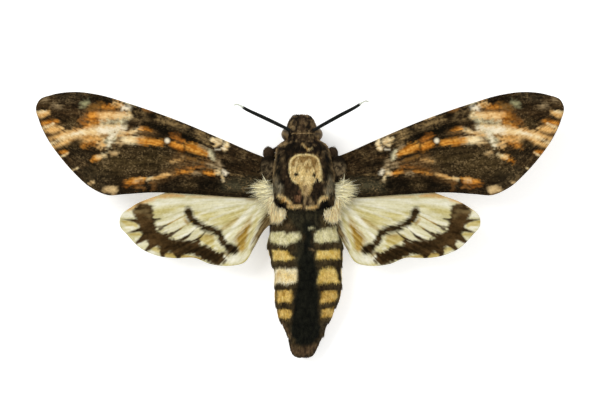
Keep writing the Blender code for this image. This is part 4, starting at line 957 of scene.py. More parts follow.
# What is laid on the forewing, in order: view, colour, softness, raggedness, share, then x, y and half width
FOREWING_STROKES = (
    # Broad grounds: pale brown in the outer half, dark in the field, black and grey along the rear margin
    (IN_MILLIMETRES, TOFFEE, 1.2, 0.7, 0.9, (48.4, 24.6, 0.7), (46.0, 25.4, 1.1), (42.0, 25.0, 1.8)),
    (IN_MILLIMETRES, TOFFEE, 1.2, 0.7, 0.8, (50.0, 21.6, 0.6), (46.0, 22.8, 1.1), (41.0, 23.0, 1.4)),
    (IN_MILLIMETRES, TOFFEE, 1.0, 0.7, 0.9, (49.0, 19.4, 0.7), (45.6, 19.4, 1.3), (42.0, 20.2, 1.2),
     (39.5, 20.4, 0.6)),
    (IN_MILLIMETRES, TOFFEE, 0.8, 0.6, 0.8, (56.4, 20.6, 1.0), (54.0, 20.0, 1.1), (51.0, 20.2, 0.6)),
    (IN_MILLIMETRES, TOFFEE, 0.7, 0.5, 0.8, (57.6, 23.0, 0.8), (55.0, 22.6, 0.8)),
    (IN_MILLIMETRES, TOFFEE, 0.8, 0.6, 0.7, (39.0, 20.6, 0.9), (36.0, 20.8, 1.0), (33.6, 21.0, 0.5)),
    (IN_MILLIMETRES, TOFFEE, 0.8, 0.6, 0.6, (28.0, 15.0, 0.7), (24.5, 14.6, 0.8), (21.0, 14.0, 0.6)),
    (IN_MILLIMETRES, TOFFEE, 0.8, 0.6, 0.6, (33.0, 10.2, 0.5), (28.0, 12.4, 0.6), (22.0, 12.6, 0.5)),
    (IN_MILLIMETRES, MOSS, 1.6, 0.9, 0.9, (31.0, 15.0, 1.6), (37.0, 14.4, 2.6), (42.0, 14.0, 2.4),
     (46.5, 12.2, 1.6)),
    (IN_MILLIMETRES, DUSK, 1.4, 0.8, 0.8, (50.5, 15.6, 1.0), (48.0, 12.0, 1.2), (45.0, 10.4, 1.0)),
    (IN_MILLIMETRES, RUSSET, 1.2, 0.8, 0.6, (52.4, 15.2, 0.8), (50.2, 14.8, 0.6)),
    (IN_MILLIMETRES, BARK, 1.4, 0.8, 0.9, (8.0, 12.8, 1.4), (13.0, 15.2, 1.6), (17.0, 16.2, 1.0)),
    (IN_MILLIMETRES, RUSSET, 1.6, 0.9, 0.6, (20.0, 14.2, 0.9), (25.0, 14.4, 1.3), (29.0, 14.0, 0.9)),
    (IN_MILLIMETRES, ASH, 0.8, 0.6, 0.9, (10.5, 9.6, 1.2), (14.0, 9.2, 1.6), (17.0, 9.1, 1.4)),
    (IN_MILLIMETRES, SOOT_BLACK, 0.8, 0.5, 1.0, (18.6, 9.2, 1.1), (21.0, 9.4, 1.5), (23.0, 9.4, 1.3)),
    (IN_MILLIMETRES, SOOT_BLACK, 0.8, 0.6, 0.9, (27.0, 9.2, 0.9), (29.0, 9.0, 1.0), (33.0, 8.6, 0.7),
     (40.0, 8.0, 0.6), (41.6, 8.2, 0.5)),
    (IN_MILLIMETRES, MOSS, 0.8, 0.6, 0.5, (24.6, 9.4, 0.7), (26.2, 9.4, 0.7)),
    (IN_MILLIMETRES, SOOT_BLACK, 0.5, 0.2, 0.9, (12.0, 6.8, 0.35), (24.0, 7.4, 0.35), (36.0, 7.8, 0.25)),
    (IN_MILLIMETRES, SOOT_BLACK, 0.8, 0.5, 0.8, (46.0, 10.8, 0.5), (43.5, 11.4, 0.6), (41.5, 10.6, 0.6)),
    (IN_MILLIMETRES, SOOT_BLACK, 0.8, 0.5, 0.8, (52.4, 17.0, 0.5), (50.4, 17.6, 0.7), (47.6, 16.8, 0.6),
     (46.0, 16.0, 0.4)),
    # The apex
    (APEX_VIEW, DUSK, 0.8, 0.6, 0.9, (420, 160, 30), (620, 170, 50), (820, 140, 40)),
    (APEX_VIEW, SOOT_BLACK, 0.5, 0.4, 1.0, (880, 205, 20), (1100, 190, 42), (1350, 235, 42),
     (1500, 215, 20)),
    (APEX_VIEW, RUSSET, 0.7, 0.7, 0.9, (150, 300, 50), (260, 240, 60), (380, 220, 40)),
    (APEX_VIEW, FAWN, 0.5, 0.5, 0.8, (225, 210, 20), (275, 215, 18)),
    (APEX_VIEW, FAWN, 0.5, 0.6, 0.9, (380, 270, 22), (430, 300, 40), (490, 350, 25)),
    (APEX_VIEW, RUSSET, 0.8, 0.8, 0.8, (350, 430, 40), (550, 440, 60), (800, 470, 60), (950, 430, 30)),
    (APEX_VIEW, MOSS, 0.8, 0.6, 0.7, (560, 640, 40), (720, 620, 60), (860, 640, 50)),
    (APEX_VIEW, SAGE, 0.4, 0.4, 0.9, (885, 310, 22), (930, 280, 40), (990, 250, 18)),
    (APEX_VIEW, BRONZE, 0.5, 0.4, 1.0, (1030, 350, 30), (1130, 320, 45), (1230, 320, 40)),
    (APEX_VIEW, ORANGE, 0.4, 0.4, 1.0, (1240, 335, 25), (1330, 335, 32), (1420, 345, 25)),
    (APEX_VIEW, PEACH, 0.4, 0.5, 0.9, (1430, 260, 20), (1500, 290, 45), (1568, 300, 45)),
    # The large orange field
    (APEX_VIEW, DEEP_ORANGE, 0.5, 0.6, 0.9, (880, 590, 30), (1000, 540, 50), (1150, 450, 50),
     (1300, 430, 40)),
    (APEX_VIEW, ORANGE, 0.4, 0.5, 1.0, (1000, 530, 25), (1150, 490, 40), (1300, 470, 55),
     (1450, 470, 55), (1600, 480, 50)),
    (APEX_VIEW, ORANGE, 0.4, 0.5, 1.0, (930, 690, 12), (1020, 640, 25), (1180, 600, 35), (1300, 560, 30)),
    (APEX_VIEW, PEACH, 0.4, 0.5, 0.9, (1240, 500, 20), (1400, 500, 35), (1568, 520, 60)),
    (MIDDLE_VIEW, PEACH, 0.4, 0.3, 1.0, (20, 350, 50), (200, 350, 60), (350, 360, 55), (450, 365, 40)),
    (MIDDLE_VIEW, CREAM, 0.5, 0.4, 0.8, (300, 350, 25), (460, 360, 28)),
    (APEX_VIEW, SOOT_BLACK, 0.2, 0.25, 0.8, (1080, 392, 6), (1300, 396, 9), (1568, 400, 10)),
    (APEX_VIEW, BRONZE, 0.25, 0.3, 0.8, (1060, 646, 8), (1160, 640, 12), (1250, 628, 8)),
    # Under the pale diagonal: ochre and cream with dark specks
    (APEX_VIEW, OCHRE, 0.5, 0.5, 1.0, (880, 900, 40), (1000, 890, 60), (1130, 900, 60), (1240, 880, 40)),
    (APEX_VIEW, ORANGE, 0.5, 0.5, 0.9, (900, 1000, 20), (990, 975, 30), (1080, 960, 25)),
    (APEX_VIEW, LICHEN_SCALES, 0.5, 0.5, 1.0, (1210, 985, 25), (1330, 940, 55), (1450, 860, 60),
     (1568, 800, 60)),
    (APEX_VIEW, LICHEN_SCALES, 0.5, 0.4, 0.9, (1240, 640, 25), (1400, 620, 35), (1568, 640, 40)),
    (MIDDLE_VIEW, LICHEN_SCALES, 0.4, 0.4, 1.0, (40, 470, 25), (200, 500, 45), (350, 490, 45),
     (440, 440, 25)),
    # The long pale streak to the margin
    (APEX_VIEW, OCHRE, 0.4, 0.3, 1.0, (360, 880, 30), (450, 850, 45), (560, 810, 40), (700, 780, 25)),
    (APEX_VIEW, OCHRE, 0.4, 0.3, 1.0, (400, 1030, 25), (500, 990, 45), (620, 930, 45), (760, 850, 30)),
    (APEX_VIEW, ORANGE, 0.3, 0.3, 0.9, (740, 760, 15), (850, 735, 20), (1000, 690, 20)),
    (APEX_VIEW, PEACH, 0.5, 0.4, 1.0, (560, 850, 30), (760, 810, 50), (960, 770, 65), (1200, 740, 60),
     (1568, 700, 60)),
    (APEX_VIEW, CREAM, 0.35, 0.3, 1.0, (350, 975, 10), (450, 925, 16), (560, 865, 24), (720, 820, 30),
     (900, 770, 30)),
    (APEX_VIEW, CREAM, 0.4, 0.3, 1.0, (900, 770, 30), (1100, 750, 36), (1300, 720, 40), (1450, 710, 36),
     (1600, 690, 30)),
    (APEX_VIEW, WHITE, 0.3, 0.3, 0.9, (1250, 725, 14), (1400, 715, 20), (1568, 715, 16)),
    (APEX_VIEW, WHITE, 0.3, 0.3, 0.8, (700, 820, 8), (800, 795, 14), (860, 780, 8)),
    # The pale zigzag down from the front margin
    (MIDDLE_VIEW, PEACH, 0.3, 0.5, 0.9, (240, 140, 25), (340, 130, 30), (400, 120, 15)),
    (MIDDLE_VIEW, LICHEN_SCALES, 0.3, 0.4, 1.0, (390, 120, 12), (500, 145, 22), (610, 170, 16)),
    (MIDDLE_VIEW, WHITE, 0.3, 0.4, 1.0, (400, 230, 20), (470, 225, 35), (530, 225, 20)),
    (MIDDLE_VIEW, CREAM, 0.3, 0.3, 1.0, (500, 300, 25), (535, 370, 40), (500, 420, 22)),
    (MIDDLE_VIEW, LICHEN_SCALES, 0.3, 0.4, 1.0, (480, 420, 18), (400, 490, 40), (440, 560, 40),
     (440, 610, 30)),
    (MIDDLE_VIEW, WHITE, 0.35, 0.4, 1.0, (0, 620, 36), (130, 620, 38), (260, 600, 34), (440, 590, 30)),
    (MIDDLE_VIEW, LICHEN_SCALES, 0.35, 0.5, 1.0, (330, 640, 35), (230, 720, 45), (130, 790, 40),
     (170, 850, 40), (150, 890, 20)),
    (MIDDLE_VIEW, WHITE, 0.3, 0.4, 0.9, (300, 660, 14), (180, 740, 22), (200, 800, 28), (150, 880, 12)),
    (MIDDLE_VIEW, OCHRE, 0.4, 0.5, 1.0, (20, 830, 30), (60, 860, 35), (0, 890, 30)),
    (MIDDLE_VIEW, PEACH, 0.4, 0.4, 1.0, (340, 700, 28), (450, 690, 35), (520, 660, 25), (600, 640, 20)),
    (MIDDLE_VIEW, BARK, 0.2, 0.2, 0.9, (20, 735, 10), (70, 715, 12)),
    (MIDDLE_VIEW, BARK, 0.2, 0.2, 0.9, (330, 750, 8), (390, 750, 14), (440, 745, 8)),
    (MIDDLE_VIEW, BARK, 0.2, 0.2, 0.8, (255, 810, 10), (320, 785, 14)),
    (MIDDLE_VIEW, BARK, 0.2, 0.2, 0.8, (90, 830, 10), (140, 790, 10)),
    (MIDDLE_VIEW, BARK, 0.2, 0.2, 0.8, (180, 500, 8), (240, 500, 14)),
    (MIDDLE_VIEW, BARK, 0.2, 0.2, 0.7, (250, 452, 8), (330, 448, 6)),
    # The yellow streak and the streak that ends in the white spot
    (MIDDLE_VIEW, CREAM, 0.3, 0.4, 1.0, (540, 640, 18), (640, 610, 26), (720, 600, 26)),
    (MIDDLE_VIEW, ORANGE, 0.3, 0.4, 1.0, (720, 590, 24), (810, 595, 26), (890, 630, 14)),
    (MIDDLE_VIEW, SOOT_BLACK, 0.3, 0.3, 0.95, (610, 695, 10), (700, 685, 24), (820, 690, 30),
     (1000, 720, 30), (1100, 735, 20)),
    (MIDDLE_VIEW, TAN_SCALES, 0.4, 0.4, 1.0, (330, 820, 28), (430, 810, 38), (520, 790, 40)),
    (MIDDLE_VIEW, CREAM, 0.35, 0.3, 1.0, (430, 790, 35), (540, 785, 62), (640, 785, 55), (720, 795, 45)),
    (MIDDLE_VIEW, GOLD, 0.35, 0.3, 1.0, (700, 795, 50), (820, 810, 46), (960, 820, 42), (1080, 825, 36),
     (1120, 820, 26)),
    (MIDDLE_VIEW, ORANGE, 0.3, 0.3, 0.6, (820, 845, 14), (960, 850, 16), (1080, 850, 14)),
    # The front margin and the black fields beside it
    (MIDDLE_VIEW, SOOT_BLACK, 0.4, 0.4, 1.0, (580, 230, 28), (640, 240, 38), (740, 240, 20)),
    (MIDDLE_VIEW, SOOT_BLACK, 0.4, 0.4, 0.9, (590, 320, 22), (640, 370, 24)),
    (MIDDLE_VIEW, GRAVEL, 0.5, 0.6, 0.9, (640, 300, 22), (740, 310, 38), (820, 350, 25)),
    (MIDDLE_VIEW, RUST, 0.3, 0.3, 0.9, (770, 240, 14), (860, 270, 16), (950, 295, 10)),
    (MIDDLE_VIEW, SOOT_BLACK, 0.5, 0.5, 1.0, (850, 390, 35), (980, 340, 55), (1100, 370, 40)),
    (MIDDLE_VIEW, GRAVEL, 0.5, 0.6, 0.7, (560, 440, 20), (700, 440, 28), (860, 455, 16)),
    (MIDDLE_VIEW, BARK, 0.3, 0.4, 0.9, (440, 490, 14), (560, 480, 24), (720, 480, 20)),
    (MIDDLE_VIEW, BARK, 0.4, 0.4, 0.9, (500, 590, 18), (560, 550, 35), (640, 530, 20)),
    (MIDDLE_VIEW, SOOT_BLACK, 0.5, 0.5, 1.0, (770, 500, 28), (900, 530, 55), (1050, 570, 75),
     (1200, 620, 60)),
    (MIDDLE_VIEW, SOOT_BLACK, 0.5, 0.4, 1.0, (1150, 600, 60), (1350, 660, 70), (1550, 740, 80)),
    (MIDDLE_VIEW, GRAVEL, 0.6, 0.7, 0.9, (1020, 430, 30), (1150, 450, 45), (1300, 510, 55),
     (1420, 560, 50), (1540, 600, 40)),
    (MIDDLE_VIEW, TAN_SCALES, 0.2, 0.2, 0.8, (1180, 375, 8), (1290, 410, 13), (1400, 440, 8)),
    (ROOT_VIEW, SOOT_BLACK, 0.5, 0.4, 1.0, (330, 90, 40), (380, 60, 45), (410, 30, 30)),
    (ROOT_VIEW, SOOT_BLACK, 0.5, 0.4, 1.0, (140, 90, 35), (300, 180, 45), (440, 220, 40), (560, 260, 30)),
    (ROOT_VIEW, GRAVEL, 0.5, 0.6, 1.0, (480, 110, 35), (540, 170, 62), (600, 250, 40)),
    (ROOT_VIEW, SOOT_BLACK, 0.4, 0.3, 0.9, (640, 120, 20), (740, 175, 20), (640, 210, 20)),
    (ROOT_VIEW, TAN_SCALES, 0.2, 0.2, 0.7, (560, 62, 7), (700, 128, 8), (860, 205, 7)),
    # The fan of orange behind the white spot
    (ROOT_VIEW, DEEP_ORANGE, 0.35, 0.3, 1.0, (100, 150, 22), (170, 180, 42), (250, 235, 30)),
    (ROOT_VIEW, ORANGE, 0.3, 0.3, 1.0, (70, 260, 18), (140, 285, 42), (250, 330, 48)),
    (ROOT_VIEW, GOLD, 0.3, 0.3, 1.0, (300, 300, 45), (390, 325, 60), (490, 370, 58), (580, 405, 38),
     (640, 420, 18)),
    (ROOT_VIEW, SOOT_BLACK, 0.2, 0.15, 0.9, (262, 250, 8), (285, 310, 12), (270, 370, 8)),
    (ROOT_VIEW, SOOT_BLACK, 0.25, 0.2, 0.9, (60, 330, 10), (250, 385, 14), (420, 430, 16), (560, 465, 10)),
    (ROOT_VIEW, FAWN, 0.25, 0.3, 0.8, (500, 295, 14), (570, 330, 18), (620, 365, 10)),
    # The pale blob, bar and spots nearer the root
    (ROOT_VIEW, CREAM, 0.3, 0.3, 1.0, (670, 215, 20), (740, 225, 42), (790, 240, 42), (740, 285, 28)),
    (ROOT_VIEW, TAN_SCALES, 0.3, 0.4, 0.8, (770, 240, 18), (800, 270, 16)),
    (ROOT_VIEW, SOOT_BLACK, 0.2, 0.15, 0.95, (835, 205, 12), (850, 240, 14), (815, 290, 12),
     (740, 325, 10)),
    (ROOT_VIEW, WHITE, 0.15, 0.1, 0.9, (720, 352, 6), (790, 348, 8)),
    (ROOT_VIEW, CREAM, 0.25, 0.2, 1.0, (875, 215, 22), (885, 270, 30), (855, 335, 36)),
    (ROOT_VIEW, WHITE, 0.2, 0.2, 0.8, (835, 315, 12), (850, 340, 14)),
    (ROOT_VIEW, SAGE_PALE, 0.3, 0.3, 1.0, (640, 375, 18), (660, 420, 32), (680, 470, 24), (700, 490, 12)),
    (ROOT_VIEW, FAWN, 0.35, 0.4, 0.9, (750, 510, 22), (775, 560, 32), (795, 610, 20)),
    (ROOT_VIEW, FAWN, 0.4, 0.4, 0.9, (650, 575, 26), (710, 600, 20)),
    (ROOT_VIEW, SOOT_BLACK, 0.3, 0.3, 0.9, (700, 390, 16), (800, 400, 20), (920, 410, 16)),
    (ROOT_VIEW, RUSSET, 0.3, 0.3, 0.8, (720, 445, 6), (850, 460, 8), (960, 470, 5)),
    (ROOT_VIEW, SOOT_BLACK, 0.3, 0.3, 0.9, (830, 540, 20), (960, 560, 28), (1100, 570, 24)),
    (ROOT_VIEW, GRAVEL, 0.5, 0.6, 0.6, (1050, 440, 25), (1110, 430, 30)),
    (ROOT_VIEW, OCHRE, 0.3, 0.3, 0.6, (90, 525, 8), (180, 500, 12.5), (270, 490, 11)),
    # Thin lines behind the cell
    (ROOT_VIEW, BRONZE, 0.35, 0.4, 0.9, (330, 465, 12), (430, 480, 16), (520, 500, 10)),
    (ROOT_VIEW, DEEP_ORANGE, 0.3, 0.3, 0.6, (160, 640, 9), (300, 622, 13), (440, 598, 12), (560, 590, 8)),
    (ROOT_VIEW, SOOT_BLACK, 0.15, 0.15, 0.95, (180, 662, 7), (380, 640, 9), (560, 630, 9), (730, 630, 6)),
    (ROOT_VIEW, ORANGE, 0.3, 0.3, 1.0, (150, 692, 12), (260, 680, 16), (390, 658, 12)),
    (ROOT_VIEW, OCHRE, 0.3, 0.2, 1.0, (-120, 755, 8), (0, 722, 16), (70, 702, 12)),
    (ROOT_VIEW, FAWN, 0.2, 0.1, 0.9, (395, 690, 6), (430, 668, 7), (490, 690, 7), (510, 712, 6)),
    (ROOT_VIEW, FAWN, 0.2, 0.1, 0.8, (405, 718, 5), (450, 705, 6), (480, 722, 5)),
    (ROOT_VIEW, ORANGE, 0.3, 0.3, 1.0, (570, 672, 14), (640, 682, 24), (700, 690, 16)),
    (ROOT_VIEW, CREAM, 0.3, 0.2, 1.0, (735, 680, 20), (775, 680, 26)),
    (ROOT_VIEW, SOOT_BLACK, 0.15, 0.1, 0.8, (805, 655, 6), (812, 700, 7)),
    (ROOT_VIEW, WHITE, 0.25, 0.2, 1.0, (838, 662, 14), (865, 690, 24)),
    (ROOT_VIEW, CREAM, 0.25, 0.2, 0.9, (815, 735, 12), (830, 785, 18)),
    (ROOT_VIEW, GRAVEL, 0.2, 0.2, 0.9, (940, 712, 7), (1100, 712, 6)),
    # Rear half and the outer margin
    (REAR_VIEW, ORANGE, 0.35, 0.35, 1.0, (420, 335, 14), (470, 312, 22), (520, 292, 22)),
    (REAR_VIEW, CREAM, 0.3, 0.3, 1.0, (500, 292, 14), (560, 272, 20), (600, 260, 12)),
    (REAR_VIEW, TAN_SCALES, 0.35, 0.4, 1.0, (690, 240, 18), (735, 232, 20)),
    (REAR_VIEW, CREAM, 0.15, 0.1, 1.0, (150, 475, 6), (240, 430, 8)),
    (REAR_VIEW, RUSSET, 0.4, 0.3, 0.8, (270, 400, 12), (350, 375, 12)),
    (REAR_VIEW, TAN_SCALES, 0.25, 0.2, 1.0, (385, 640, 8), (435, 615, 14)),
    (REAR_VIEW, TAN_SCALES, 0.3, 0.2, 1.0, (600, 715, 22), (660, 705, 36), (715, 710, 38), (705, 760, 22)),
    (REAR_VIEW, CREAM, 0.4, 0.3, 0.5, (690, 700, 14), (720, 730, 12)),
    (REAR_VIEW, DEEP_ORANGE, 0.4, 0.4, 0.9, (860, 640, 12), (960, 640, 20), (1060, 610, 16)),
    (REAR_VIEW, ORANGE, 0.35, 0.3, 1.0, (890, 615, 14), (960, 595, 26), (1050, 575, 24), (1100, 570, 16)),
    (REAR_VIEW, CREAM, 0.35, 0.3, 0.8, (990, 590, 10), (1060, 575, 14)),
    (REAR_VIEW, CREAM, 0.25, 0.2, 1.0, (1150, 580, 18), (1200, 562, 18)),
    (REAR_VIEW, OCHRE, 0.25, 0.2, 1.0, (1210, 570, 10), (1300, 540, 12), (1410, 512, 8)),
    (REAR_VIEW, RUST, 0.3, 0.3, 0.9, (1000, 700, 10), (1050, 668, 14), (1100, 690, 12)),
    (REAR_VIEW, RUST, 0.4, 0.4, 0.6, (1200, 620, 12), (1225, 690, 14)),
    # Wedges on the outer margin
    (APEX_VIEW, OCHRE, 0.3, 0.2, 1.0, (140, 470, 40), (200, 455, 45), (290, 435, 30)),
    (APEX_VIEW, OCHRE, 0.3, 0.2, 0.9, (165, 515, 15), (230, 490, 20)),
    (APEX_VIEW, CREAM, 0.25, 0.15, 1.0, (95, 425, 18), (170, 425, 20), (250, 412, 12)),
    (APEX_VIEW, ORANGE, 0.3, 0.3, 1.0, (200, 620, 20), (300, 600, 36), (430, 585, 28)),
    (APEX_VIEW, OCHRE, 0.3, 0.3, 1.0, (260, 740, 30), (360, 740, 55), (470, 710, 40), (540, 710, 15)),
    (APEX_VIEW, CREAM, 0.2, 0.15, 1.0, (190, 708, 9), (290, 670, 15), (390, 620, 10)),
    (APEX_VIEW, SOOT_BLACK, 0.25, 0.2, 0.8, (460, 640, 10), (540, 615, 12)),
    (APEX_VIEW, SOOT_BLACK, 0.3, 0.2, 0.9, (150, 560, 16), (260, 550, 16), (380, 545, 8)),
    (APEX_VIEW, SOOT_BLACK, 0.3, 0.2, 0.9, (270, 830, 16), (380, 820, 12), (470, 790, 8)),
    (APEX_VIEW, SOOT_BLACK, 0.3, 0.2, 0.9, (450, 1070, 22), (540, 1040, 20), (600, 1010, 12)),
    (APEX_VIEW, ORANGE, 0.3, 0.2, 1.0, (510, 1120, 16), (570, 1115, 28), (630, 1120, 16)),
    (APEX_VIEW, CREAM, 0.15, 0.1, 1.0, (515, 1198, 6), (590, 1165, 12), (650, 1125, 8)),
    (APEX_VIEW, SOOT_BLACK, 0.4, 0.4, 0.9, (700, 960, 22), (800, 930, 30), (870, 920, 14)),
    (APEX_VIEW, MOSS, 0.5, 0.4, 0.8, (720, 1010, 22), (840, 980, 26)),
    # The white dot in its black ring
    (IN_MILLIMETRES, SOOT_BLACK, 0.35, 0.05, 1.0, (30.3, 19.35, 0.76), (30.2, 19.3, 0.76)),
    (IN_MILLIMETRES, WHITE, 0.16, 0.0, 1.0, (30.25, 19.35, 0.52), (30.2, 19.3, 0.52)),
)


def smooth_line(points, step):
    """A smooth line through points, cut at about the given step."""
    points = np.asarray(points, float)
    places = np.append(0.0, np.cumsum(np.hypot(*np.diff(points, axis=0).T)))
    count = max(2, int(places[-1] / step) + 1)
    at = np.linspace(0, places[-1], count)
    return np.stack([through(places, points[:, 0], at), through(places, points[:, 1], at)], axis=1)


def wing_grid(outline, rows):
    """Points of a wing seen from above, in columns from front margin to rear, and how far down each lies."""
    margin = smooth_line(outline, MARGIN_STEP)
    tip = int(np.argmax(margin[:, 0]))
    reach = margin[tip, 0]
    columns = np.arange(WING_START, reach - WING_BLUNT_END, WING_GRID)
    close = reach - WING_BLUNT_END * (1 - np.linspace(0, 1, COLUMNS_AT_END)) ** 2
    x = np.append(columns, close)
    front = np.interp(x, margin[: tip + 1, 0], margin[: tip + 1, 1])
    rear = np.interp(x, margin[tip:][::-1, 0], margin[tip:][::-1, 1])
    down = np.linspace(0, 1, rows)
    grid_x = np.repeat(x[:, None], rows, axis=1)
    grid_y = front[:, None] + (rear - front)[:, None] * down[None, :]
    return grid_x, grid_y, np.repeat(down[None, :], len(x), axis=0)


def vein_share(x, y, veins):
    """How near a point is to the crest of a vein: 1 on it and 0 at its foot."""
    share = np.zeros(x.shape)
    for vein in veins:
        line = smooth_line(vein, VEIN_STEP)
        taper = np.linspace(1.0, VEIN_TAPER, len(line))
        for k in range(len(line) - 1):
            (ax, ay), (bx, by) = line[k], line[k + 1]
            length = (bx - ax) ** 2 + (by - ay) ** 2
            part = np.clip(((x - ax) * (bx - ax) + (y - ay) * (by - ay)) / length, 0, 1)
            away = np.hypot(x - ax - part * (bx - ax), y - ay - part * (by - ay))
            share = np.maximum(share, taper[k] * rise_between(VEIN_HALF_WIDTH, 0.0, away))
    return share


def forewing_level(x, y):
    """The forewing rises a little towards its tip and its front margin."""
    return FOREWING_HEIGHT + 0.03 * (x - 7.0) + 0.012 * (y - 16.0)


def build_wing(name, side, outline, rows, veins, level, canvas_of, pleat, paint):
    """A wing as one closed sheet: the patterned upper side, the plain lower side and the margin between."""
    x, y, down = wing_grid(outline, rows)
    share = vein_share(x, y, veins)
    edge = rise_between(0.0, 0.03, np.minimum(down, 1 - down)) * rise_between(0.0, 0.6, x.max() - x)
    middle = level(x, y) + pleat(x, y, down) * edge
    half = WING_MEMBRANE / 2 * (0.4 + 0.6 * edge)
    upper = np.stack([side * x, y, middle + half + VEIN_RISE * share * edge], axis=-1)
    lower = np.stack([side * x, y, middle - half - VEIN_RISE_BELOW * share * edge], axis=-1)
    rings = np.concatenate([upper, lower[:, ::-1]], axis=1)
    points, faces = sleeve(rings)
    mesh = make_mesh(name, points, faces)
    flat_x = np.append(np.concatenate([x, x[:, ::-1]], axis=1).ravel(), [WING_START, x.max()])
    flat_y = np.append(np.concatenate([y, y[:, ::-1]], axis=1).ravel(), [y[0].mean(), y[-1].mean()])
    flat_down = np.append(np.concatenate([down, down[:, ::-1]], axis=1).ravel(), [0.5, 0.5])
    canvas = canvas_of(flat_x, flat_y, flat_down, side)
    lay(mesh, "scales", canvas.laid, "FLOAT_COLOR")
    grain = np.stack([flat_x * 0.5, flat_down * 60, 0 * flat_x], axis=1)
    lay(mesh, "grain", grain, "FLOAT_VECTOR")
    shape = bmesh.new()
    shape.from_mesh(mesh)
    bmesh.ops.remove_doubles(shape, verts=shape.verts, dist=1e-7)
    shape.to_mesh(mesh)
    shape.free()
    mesh.materials.append(paint)
    return put_in_scene(name, mesh)


SCALE_LIGHT = 0.83


def scale_paint(name, fleck_colour, streaks, roughness):
    """Flat scales: the laid pattern, light and dark flecks where it has them, and streaks along the veins."""
    paint = Paint(name)
    laid = paint.laid("scales")
    speckled = laid.other("Alpha")
    where = paint.place()
    stretch = {0: paint.laid("grain", "Vector"), 1: (3.2, 1.7, 1.0)}
    rows = paint.add("ShaderNodeVectorMath", {"operation": "MULTIPLY"}, stretch)
    grains = paint.noise(where, 2100.0, 3.0)
    specks = paint.noise(where, 4400.0, 1.0)
    clumps = paint.noise(where, 500.0, 2.0)
    dashes = paint.noise(rows, 1.0, 2.0)
    light = (grains * 0.5 + dashes * 0.3 + specks * 0.2 + clumps * 0.35).between(0.68, 0.81) * speckled
    dark = (paint.noise(where, 2600.0, 2.0) * 0.6 + dashes * 0.4).between(0.5, 0.36)
    colour = paint.blend(light, laid, fleck_colour)
    streak = paint.noise(paint.laid("grain", "Vector"), 1.0, 3.0)
    depth = (1 - streaks / 2 + streak * streaks) * (1 - dark * (0.08 + speckled * 0.5)) * SCALE_LIGHT
    colour = paint.blend(1.0, colour, paint.grey(depth), "MULTIPLY")
    relief = specks * 0.4 + streak * 0.6 + paint.noise(where, 9000.0, 0.0) * 0.3
    looks = {
        "Base Color": colour,
        "Roughness": roughness,
        "Specular IOR Level": 0.02,
        "Normal": paint.bump(relief, 0.35, 0.00008),
    }
    return paint.surface(looks)


def along_veins(x, y, down, seed):
    """Unevenness of scales: long streaks that run out with the veins, with finer grains among them."""
    long = ragged(x / 3.4, down * 46, 1.0, seed)
    short = ragged(x / 1.1, down * 88, 1.0, seed + 1)
    return long * 0.5 + short * 0.45 + ragged(x, y, 0.36, seed + 2) * 0.5


# How much softer and more ragged the strokes are laid than they are listed
BLEND = 3.0
FRAY = 1.7


def on_wing(view, points):
    """Places and half widths read on an enlarged view, in millimetres from the wings' middle."""
    if view is IN_MILLIMETRES:
        return points
    left, top, width = view
    middle_x, middle_y = WINGS_MIDDLE
    shrink = width / ENLARGED_WIDTH
    placed = []
    for x, y, half in points:
        across, ahead = middle_x - left - x * shrink, middle_y - top - y * shrink
        placed.append((across * PIXEL, ahead * PIXEL, half * shrink * PIXEL))
    return placed


def forewing_canvas(x, y, down, side):
    """The pattern lies a little further out on the right wing than on the left."""
    drift = (0.06 * (27 - y) + 0.015 * (60 - x)) * rise_between(8, 16, x) * (side > 0)
    canvas = Canvas(x - drift, y, SOIL, along_veins(x, y, down, 41), along_veins(x, y, down, 44))
    for view, colour, soft, rough, share, *points in FOREWING_STROKES:
        canvas.stroke(colour, on_wing(view, points), soft * BLEND, rough * FRAY, share)
    if side > 0:
        canvas.stroke(SOIL, ((50.4, 25.4, 0.9), (48.6, 24.6, 1.0), (47.4, 24.3, 0.5)), 1.6, 1.6, 0.6)
        canvas.stroke(SOIL, ((33.4, 12.0, 0.4), (29.0, 12.4, 0.5), (25.0, 12.9, 0.4)), 1.2, 1.6, 0.55)
    return canvas


def forewing_pleat(x, y, down):
    """Fine ripples along the veins, on a membrane that bulges a little in the middle."""
    return 0.07 * np.sin(down * 26.0 + x * 0.03) + 0.25 * np.sin(np.pi * down) * rise_between(8, 30, x)


forewing_paint = scale_paint("forewing scales", tint(122, 101, 68), 0.5, 0.8)
for word, side in SIDES.items():
    wing = build_wing(
        f"forewing_scales_{word}", side, FOREWING_OUTLINE, FOREWING_ROWS, FOREWING_VEINS,
        forewing_level, forewing_canvas, forewing_pleat, forewing_paint,
    )
    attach(wing, "root")
    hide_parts(f"forewing_{word}")


